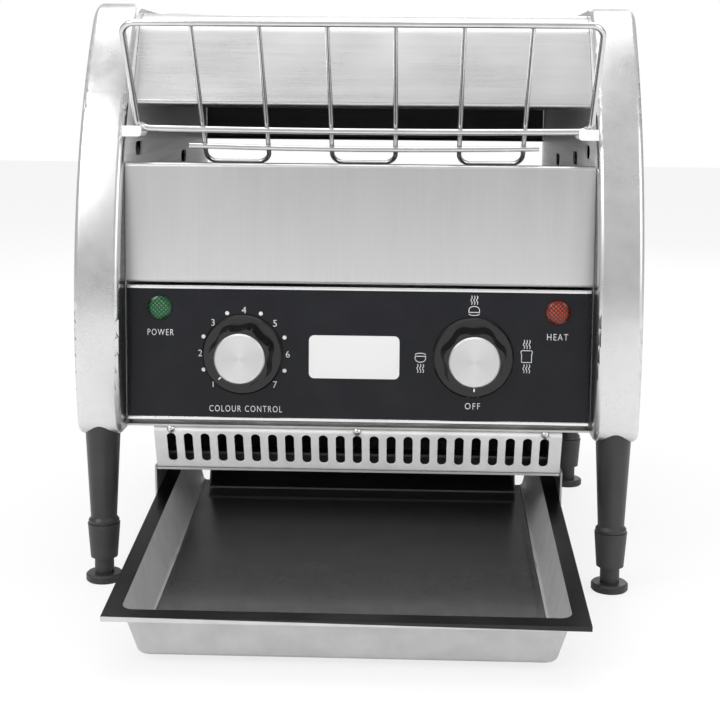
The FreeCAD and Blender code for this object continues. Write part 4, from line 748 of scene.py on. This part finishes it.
@dataclass
class ControlPlate:
    """Gloss black plate with its printed scales, lamps and blank badge."""

    frame: dict
    print_depth: float = 0.12 * MM
    scale_radius: float = 29.2 * MM
    scale_offset: Vector = field(default_factory=lambda: Vector((0.9 * MM, 0, 0.4 * MM)))
    figure_height: float = 4.4 * MM
    word_height: float = 4.2 * MM
    dot_radius: float = 1.35 * MM
    line: float = 0.30 * MM
    line_flatness: float = 0.2
    thickness: float = 0.01
    thinning: float = -0.008
    letter_space: float = 1.25
    dial_step: float = 45.0
    dial_marks: int = 7
    colour_centre: Vector = field(default_factory=Vector)
    mode_centre: Vector = field(default_factory=Vector)
    ink: bpy.types.Material | None = None

    def __post_init__(self) -> None:
        """Take the places of the dials from the frame."""
        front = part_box("control_plate")[0][1]
        self.colour_centre = middle_of("colour_knob_cap")
        self.mode_centre = middle_of("mode_knob_cap")
        self.colour_centre.y = self.mode_centre.y = front

    def dress(self) -> None:
        """Finish the plate, the badge and the lamps."""
        plate = Moulded("gloss_black_plate", (0.0075, 0.008, 0.0115), 0.22, 0.22, dust=0.012,
                        height=0.000004).build()
        smooth_copy(self.frame, "control_plate", plate)
        badge = Moulded("blank_badge_white", grey(0.80), 0.30, 0.45, coat=0.5).build()
        smooth_copy(self.frame, "blank_badge", badge)
        lamps = (("power_lamp_lens", (0.001, 0.035, 0.012), (0.008, 0.30, 0.07)),
                 ("heat_lamp_lens", (0.09, 0.007, 0.001), (0.50, 0.045, 0.006)))
        for node, deep, bright in lamps:
            centre = middle_of(node)
            centre.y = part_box(node)[0][1]
            smooth_copy(self.frame, node, LensPlastic(node + "_plastic", deep, bright, centre).build())
        paint(self.frame, "lamp_bodies", Moulded("lamp_socket", grey(0.04), 0.5).build())
        self.ink = Moulded("white_print", grey(0.78), 0.45, 0.3, height=0.000003, dust=0.02).build()

    def letter(self, words: str, height: float, centre: Vector, name: str,
               width: float | None = None, spacing: float = 1.0) -> None:
        """Print words on the plate.

        Args:
            words: What is printed.
            height: Height of its capitals.
            centre: Middle of the words, on the face of the plate.
            name: Name of the piece.
            width: Width that the words are fitted to.
            spacing: Space between letters, as a share of the usual.
        """
        curve = bpy.data.curves.new(name, "FONT")
        curve.body = words
        curve.space_character = spacing
        curve.extrude = self.thickness
        curve.offset = self.thinning
        curve.resolution_u = 4
        data = flattened(publish(name + "_text", curve))
        xs = [vertex.co.x for vertex in data.vertices]
        ys = [vertex.co.y for vertex in data.vertices]
        tall = height / (max(ys) - min(ys))
        wide = tall if width is None else width / (max(xs) - min(xs))
        middle = Vector(((max(xs) + min(xs)) / 2, (max(ys) + min(ys)) / 2, 0))
        data.transform(Matrix.Translation(-middle))
        data.transform(Matrix.Diagonal((wide, tall, self.print_depth / (2 * self.thickness), 1.0)))
        data.transform(Matrix.Rotation(math.radians(90), 4, "X"))
        data.transform(Matrix.Translation(centre - Vector((0, self.print_depth / 2, 0))))
        data.name = name
        data.materials.clear()
        data.materials.append(self.ink)
        add_piece(publish(name, data), "toaster")

    def around(self, centre: Vector, steps: float) -> Vector:
        """Return a place on the scale of a dial.

        Args:
            centre: Middle of the scale.
            steps: Steps clockwise from straight down.

        Returns:
            The place.
        """
        down = Vector((0, 0, -self.scale_radius))
        return centre + Matrix.Rotation(math.radians(self.dial_step * steps), 3, "Y") @ down

    def print_scales(self) -> None:
        """Print the figures and dots round the colour dial and the words of the plate."""
        dots = Shaper()
        middle = self.colour_centre + self.scale_offset
        for mark in range(1, self.dial_marks + 1):
            self.letter(str(mark), self.figure_height, self.around(middle, mark), f"figure_{mark}")
            if mark < self.dial_marks:
                dots.disc(self.dot_radius, self.print_depth, self.around(middle, mark + 0.5))
        add_piece(dots.finish("scale_dots", self.ink), "toaster")
        front = self.colour_centre.y
        words = (("COLOUR CONTROL", -74.5, 117.2, 48.6), ("POWER", -131.2, 168.2, 17.4),
                 ("HEAT", 131.7, 168.5, 13.8), ("OFF", 76.5, 121.3, 10.0))
        for text, across, height, width in words:
            name = "word_" + text.lower().replace(" ", "_")
            self.letter(text, self.word_height, Vector((across * MM, front, height * MM)), name,
                        width * MM, self.letter_space)

    def stroke(self, points: Iterable[tuple[float, float]], centre: Vector, closed: bool = False,
               order: int = 3) -> bpy.types.Object:
        """Draw a thin printed line.

        Args:
            points: Its points across and up from the centre, in millimetres.
            centre: The centre, on the face of the plate.
            closed: Whether the line comes back to its start.
            order: 2 for straight parts, 3 for curves.

        Returns:
            The line, as an object.
        """
        curve = bpy.data.curves.new("stroke", "CURVE")
        curve.dimensions = "3D"
        curve.bevel_depth = self.line
        curve.bevel_resolution = 0
        curve.resolution_u = 6
        spline = curve.splines.new("NURBS")
        points = list(points)
        spline.points.add(len(points) - 1)
        for point, (across, height) in zip(spline.points, points):
            point.co = (across * MM, 0, height * MM, 1)
        spline.order_u = order
        spline.use_cyclic_u = closed
        spline.use_endpoint_u = not closed
        data = flattened(publish("stroke", curve))
        data.transform(Matrix.Diagonal((1, self.line_flatness, 1, 1)))
        data.transform(Matrix.Translation(centre - Vector((0, self.line * self.line_flatness / 2, 0))))
        return publish("stroke", data)

    def heat_waves(self, centre: Vector, height: float, up: float) -> Strokes:
        """Draw three wavy lines above or below a pictogram.

        Args:
            centre: Middle of the pictogram.
            height: Where the lines start above it, in millimetres.
            up: 1 where they rise, -1 where they fall.

        Returns:
            The lines.
        """
        lines = []
        for across in (-1.85, 0.0, 1.85):
            points = [(across, height), (across + 0.8, height + 1.3 * up), (across - 0.8, height + 2.9 * up),
                      (across + 0.8, height + 4.5 * up), (across, height + 5.9 * up)]
            lines.append(self.stroke(points, centre))
        return lines

    def bun(self, centre: Vector, up: float) -> Strokes:
        """Draw a cut bun: its dome, the cut and its lower half.

        Args:
            centre: Middle of the cut.
            up: 1 with the dome on top, -1 with the dome below.

        Returns:
            The lines.
        """
        dome = [(-3.4, 0.0), (-3.6, 1.2 * up), (-3.0, 3.2 * up), (0.0, 4.3 * up), (3.0, 3.2 * up),
                (3.6, 1.2 * up), (3.4, 0.0)]
        foot = [(-3.4, -0.8 * up), (-3.4, -2.0 * up), (3.4, -2.0 * up), (3.4, -0.8 * up)]
        return [self.stroke(dome, centre), self.stroke([(-3.65, 0.0), (3.65, 0.0)], centre, order=2),
                self.stroke(foot, centre)]

    def slice_of_bread(self, centre: Vector) -> Strokes:
        """Draw the outline of a slice of bread about a centre."""
        outline = [(-3.3, -3.95), (3.3, -3.95), (3.3, 1.5), (3.7, 2.1), (3.7, 3.4), (3.1, 3.95),
                   (-3.1, 3.95), (-3.7, 3.4), (-3.7, 2.1), (-3.3, 1.5)]
        return [self.stroke(outline, centre, closed=True, order=2)]

    def print_pictograms(self) -> None:
        """Print the three pictograms round the mode dial: two cut buns and a slice."""
        front = self.mode_centre.y
        top = Vector((76.6 * MM, front, 184.2 * MM))
        left = Vector((41.6 * MM, front, 154.4 * MM))
        right = Vector((111.6 * MM, front, 155.2 * MM))
        groups = (("pictogram_top_bun", self.bun(top, 1.0) + self.heat_waves(top, 5.2, 1.0)),
                  ("pictogram_low_bun", self.bun(left, -1.0) + self.heat_waves(left, -5.2, -1.0)),
                  ("pictogram_slice", self.slice_of_bread(right) + self.heat_waves(right, 5.2, 1.0)
                   + self.heat_waves(right, -5.2, -1.0)))
        for name, strokes in groups:
            mesh = bmesh.new()
            for stroke in strokes:
                mesh.from_mesh(stroke.data)
                bpy.data.objects.remove(stroke)
            add_piece(release(mesh, name, self.ink), "toaster")


@dataclass
class Dial:
    """Knob with a spun cap and a white line on its pointer."""

    frame: dict
    knob: str
    cap: str
    body: str
    turn: float
    line_width: float = 1.0 * MM
    line_depth: float = 0.4 * MM
    line_edge: float = 0.1 * MM
    line_sink: float = 0.55 * MM
    inner: float = 17.2 * MM
    outer: float = 19.3 * MM

    def build(self, gloss: bpy.types.Material, ink: bpy.types.Material) -> None:
        """Finish the knob and its cap, and lay the line on the pointer.

        Args:
            gloss: Finish of the knob.
            ink: Finish of the line.
        """
        centre = middle_of(self.cap)
        centre.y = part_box(self.cap)[1][1]
        smooth_copy(self.frame, self.knob, gloss, 30.0)
        smooth_copy(self.frame, self.cap, SpunMetal(self.cap + "_spun", grey(0.74), centre).build())
        mark = Shaper()
        mark.block(Vector((self.line_width, self.line_depth, self.outer - self.inner)),
                   Vector((0, 0, -(self.inner + self.outer) / 2)))
        mark.soften(self.line_edge)
        place = Matrix.Translation(centre - Vector((0, self.line_sink, 0)))
        bmesh.ops.transform(mark.mesh, matrix=place @ Matrix.Rotation(math.radians(self.turn), 4, "Y"),
                            verts=mark.mesh.verts)
        add_piece(mark.finish(self.knob + "_line", ink), self.body)


@dataclass
class Conveyor:
    """Belt, shafts, chain drive, heater tubes and their holders."""

    frame: dict

    def dress(self) -> None:
        """Finish the belt, the drive and the heaters."""
        wire = PlainMetal("belt_wire_steel", grey(0.42), 0.34, 0.10).build()
        shaft = PlainMetal("ground_shaft", grey(0.58), 0.24, 0.06).build()
        wheel = PlainMetal("machined_wheel", grey(0.40), 0.32, 0.08).build()
        chain = PlainMetal("oiled_chain", grey(0.26), 0.38, 0.08).build()
        bronze = PlainMetal("bronze_bush", (0.55, 0.38, 0.20), 0.36, 0.06).build()
        smooth_copy(self.frame, "conveyor_belt", wire)
        for node in ("drive_shaft", "idler_shaft", "motor_shaft"):
            smooth_copy(self.frame, node, shaft)
        for node in ("drive_sprockets", "idler_sprockets", "chain_wheel", "motor_sprocket"):
            smooth_copy(self.frame, node, wheel)
        smooth_copy(self.frame, "drive_chain", chain)
        smooth_copy(self.frame, "shaft_bushes", bronze)
        quartz = QuartzGlass("milky_quartz", (0.80, 0.78, 0.74)).build()
        for node in ("upper_heaters", "lower_heaters"):
            smooth_copy(self.frame, node, quartz)
        ceramic = Moulded("glazed_ceramic", (0.78, 0.76, 0.70), 0.28, 0.5, dust=0.06).build()
        smooth_copy(self.frame, "heater_holders", ceramic)
        motor = Moulded("motor_paint", (0.16, 0.17, 0.18), 0.42, 0.5, grain=1800.0, height=0.00002).build()
        smooth_copy(self.frame, "gear_motor", motor)
        fan = Moulded("fan_plastic", grey(0.03), 0.45, 0.5).build()
        for node in ("fan_housing", "fan_impeller"):
            smooth_copy(self.frame, node, fan)


@dataclass
class Fittings:
    """Tray, rack, legs, feet, switches behind the panel and the cord bush."""

    frame: dict
    tray_depth: float = 32.2 * MM
    rim_height: float = 4.0 * MM
    floor_facing: float = 0.9

    def dress(self) -> None:
        """Finish what stands, carries or is taken off."""
        tray = PlainMetal("tray_floor", grey(0.14), 0.16, 0.05, metallic=0.55).build()
        piece = smooth_copy(self.frame, "exit_tray", tray)
        # Painted reflection: one tray finish is split in copies; the walls are coloured light as a painted
        # reflection of the bright surroundings, the rim near black as a painted reflection of the dark
        # underside of the body.
        wall = PlainMetal("tray_wall_painted_reflection", grey(0.62), 0.42, 0.04, metallic=0.35).build()
        rim = PlainMetal("tray_rim_painted_reflection", grey(0.045), 0.30, 0.05).build()
        refinish(piece, wall, lambda face: face.normal.z < self.floor_facing)
        low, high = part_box("exit_tray")
        slope = (high[2] - low[2] - self.tray_depth) / (high[1] - low[1])
        refinish(piece, rim, lambda face: face.center.z - low[2] - (face.center.y - low[1]) * slope
                 > self.tray_depth - self.rim_height)
        rack = PlainMetal("plated_wire", grey(0.70), 0.18, 0.06).build()
        smooth_copy(self.frame, "loading_rack", rack, 40.0)
        leg = Moulded("black_leg", grey(0.022), 0.34, 0.45).build()
        foot = Moulded("black_foot", grey(0.028), 0.42, 0.45).build()
        for end in ("front", "rear"):
            for side in ("left", "right"):
                smooth_copy(self.frame, f"{end}_{side}_leg", leg)
                smooth_copy(self.frame, f"{end}_{side}_foot", foot)
        brass = PlainMetal("turned_brass", (0.66, 0.54, 0.30), 0.26, 0.05).build()
        for node in ("colour_spindle", "mode_spindle"):
            smooth_copy(self.frame, node, brass)
        smooth_copy(self.frame, "speed_control", Moulded("dark_control", grey(0.06), 0.5).build())
        smooth_copy(self.frame, "mode_switch", Moulded("pale_switch", (0.66, 0.63, 0.54), 0.45).build())
        smooth_copy(self.frame, "cable_gland", Moulded("black_gland", grey(0.025), 0.5).build())


@dataclass(frozen=True)
class Studio:
    """Camera, lamps, floor and surroundings of the picture."""

    focal: float = 71.08
    height_shift: float = -0.1489
    place: Vector = field(default_factory=lambda: Vector((0.03324, -1.0436, 0.3238)))
    pitch: float = 6.2
    yaw: float = 1.988
    roll: float = 0.486
    aim: Vector = field(default_factory=lambda: Vector((0, 0, 0.2)))
    floor_half: float = 6.0
    floor_white: float = 0.78
    sky: tuple[tuple[float, float], ...] = ((0.0, 0.30), (0.45, 0.42), (0.62, 0.62), (1.0, 0.80))

    def build(self) -> None:
        """Set up the camera, the light and the floor."""
        self.add_camera()
        self.add_lamps()
        self.add_floor()
        self.add_world()
        bpy.context.scene.view_settings.view_transform = "Standard"

    def add_camera(self) -> None:
        """Put the camera where the photograph was taken from."""
        lens = bpy.data.cameras.new("camera")
        lens.sensor_width = 36.0
        lens.lens = self.focal
        lens.shift_y = self.height_shift
        lens.clip_start = 0.01
        camera = publish("camera", lens)
        look = (Matrix.Rotation(math.radians(self.yaw), 4, "Z")
                @ Matrix.Rotation(math.radians(90 - self.pitch), 4, "X")
                @ Matrix.Rotation(math.radians(self.roll), 4, "Z"))
        camera.matrix_world = Matrix.Translation(self.place) @ look
        bpy.context.scene.camera = camera

    def lamp(self, name: str, power: Light, size: tuple[float, float], place: Vector) -> None:
        """Add one soft rectangular lamp.

        Args:
            name: Name of the lamp.
            power: Its level.
            size: Its width and height.
            place: Where it hangs.
        """
        data = bpy.data.lights.new(name, "AREA")
        data.shape = "RECTANGLE"
        data.size, data.size_y = size
        data.energy = power.value
        facing = (self.aim - place).to_track_quat("-Z", "Y").to_matrix().to_4x4()
        publish(name, data).matrix_world = Matrix.Translation(place) @ facing

    def add_lamps(self) -> None:
        """Add the studio lamps round the machine."""
        self.lamp("key_lamp", Light.KEY, (1.4, 1.0), Vector((-1.3, -1.5, 1.5)))
        self.lamp("fill_lamp", Light.FILL, (1.2, 1.2), Vector((1.6, -1.2, 0.9)))
        self.lamp("top_lamp", Light.TOP, (1.8, 1.4), Vector((0.0, 0.2, 1.9)))
        self.lamp("back_lamp", Light.BACK, (1.4, 0.8), Vector((0.3, 1.7, 1.1)))

    def add_floor(self) -> None:
        """Lay a pale floor that shows white to the camera and keeps a soft shadow."""
        floor = Shaper()
        bmesh.ops.create_grid(floor.mesh, x_segments=1, y_segments=1, size=self.floor_half)
        recipe = Recipe("pale_floor")
        recipe.set(Base_Color=grey(0.86), Roughness=0.7, Specular_IOR_Level=0.2)
        glow = recipe.add("ShaderNodeEmission")
        glow.inputs["Color"].default_value = (1, 1, 1, 1)
        path = recipe.add("ShaderNodeLightPath")
        share = recipe.maths("MULTIPLY", path.outputs["Is Camera Ray"], self.floor_white)
        mixer = recipe.add("ShaderNodeMixShader")
        recipe.link(share, mixer.inputs[0])
        recipe.link(recipe.shader.outputs["BSDF"], mixer.inputs[1])
        recipe.link(glow.outputs[0], mixer.inputs[2])
        output = next(node for node in recipe.tree.nodes if node.type == "OUTPUT_MATERIAL")
        recipe.link(mixer.outputs[0], output.inputs["Surface"])
        floor.finish("floor", recipe.material)

    def add_world(self) -> None:
        """Make the surroundings white to the camera and a soft gradient in reflections."""
        world = bpy.data.worlds.new("studio")
        world.use_nodes = True
        tree = world.node_tree
        tree.nodes.clear()
        kinds = ("OutputWorld", "Background", "Background", "TexCoord", "SeparateXYZ", "ValToRGB",
                 "MapRange", "LightPath", "MixShader")
        output, plain, soft, place, split, ramp, shift, path, mixer = (
            tree.nodes.new("ShaderNode" + kind) for kind in kinds)
        while len(ramp.color_ramp.elements) < len(self.sky):
            ramp.color_ramp.elements.new(0.5)
        for element, (position, level) in zip(ramp.color_ramp.elements, self.sky):
            element.position = position
            element.color = (*grey(level), 1.0)
        shift.inputs["From Min"].default_value = -1.0
        plain.inputs["Color"].default_value = (*grey(1.0), 1.0)
        for source, target in ((place.outputs["Generated"], split.inputs[0]),
                               (split.outputs["Z"], shift.inputs["Value"]),
                               (shift.outputs["Result"], ramp.inputs[0]),
                               (ramp.outputs[0], soft.inputs["Color"]),
                               (path.outputs["Is Camera Ray"], mixer.inputs[0]),
                               (soft.outputs[0], mixer.inputs[1]),
                               (plain.outputs[0], mixer.inputs[2]),
                               (mixer.outputs[0], output.inputs["Surface"])):
            tree.links.new(source, target)
        bpy.context.scene.world = world


def main() -> None:
    """Dress the machine in order."""
    logging.basicConfig(level=logging.INFO, format="%(name)s: %(message)s")
    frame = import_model()
    housing = Housing(frame)
    housing.dress()
    housing.dress_screws()
    plate = ControlPlate(frame)
    plate.dress()
    plate.print_scales()
    plate.print_pictograms()
    gloss = Moulded("gloss_black_knob", grey(0.006), 0.18, 0.4, dust=0.01, coat=0.15).build()
    Dial(frame, "colour_knob", "colour_knob_cap", "colour_dial", 45.0).build(gloss, plate.ink)
    Dial(frame, "mode_knob", "mode_knob_cap", "mode_dial", 0.0).build(gloss, plate.ink)
    Conveyor(frame).dress()
    Fittings(frame).dress()
    Studio().build()


if __name__ == "__main__":
    main()
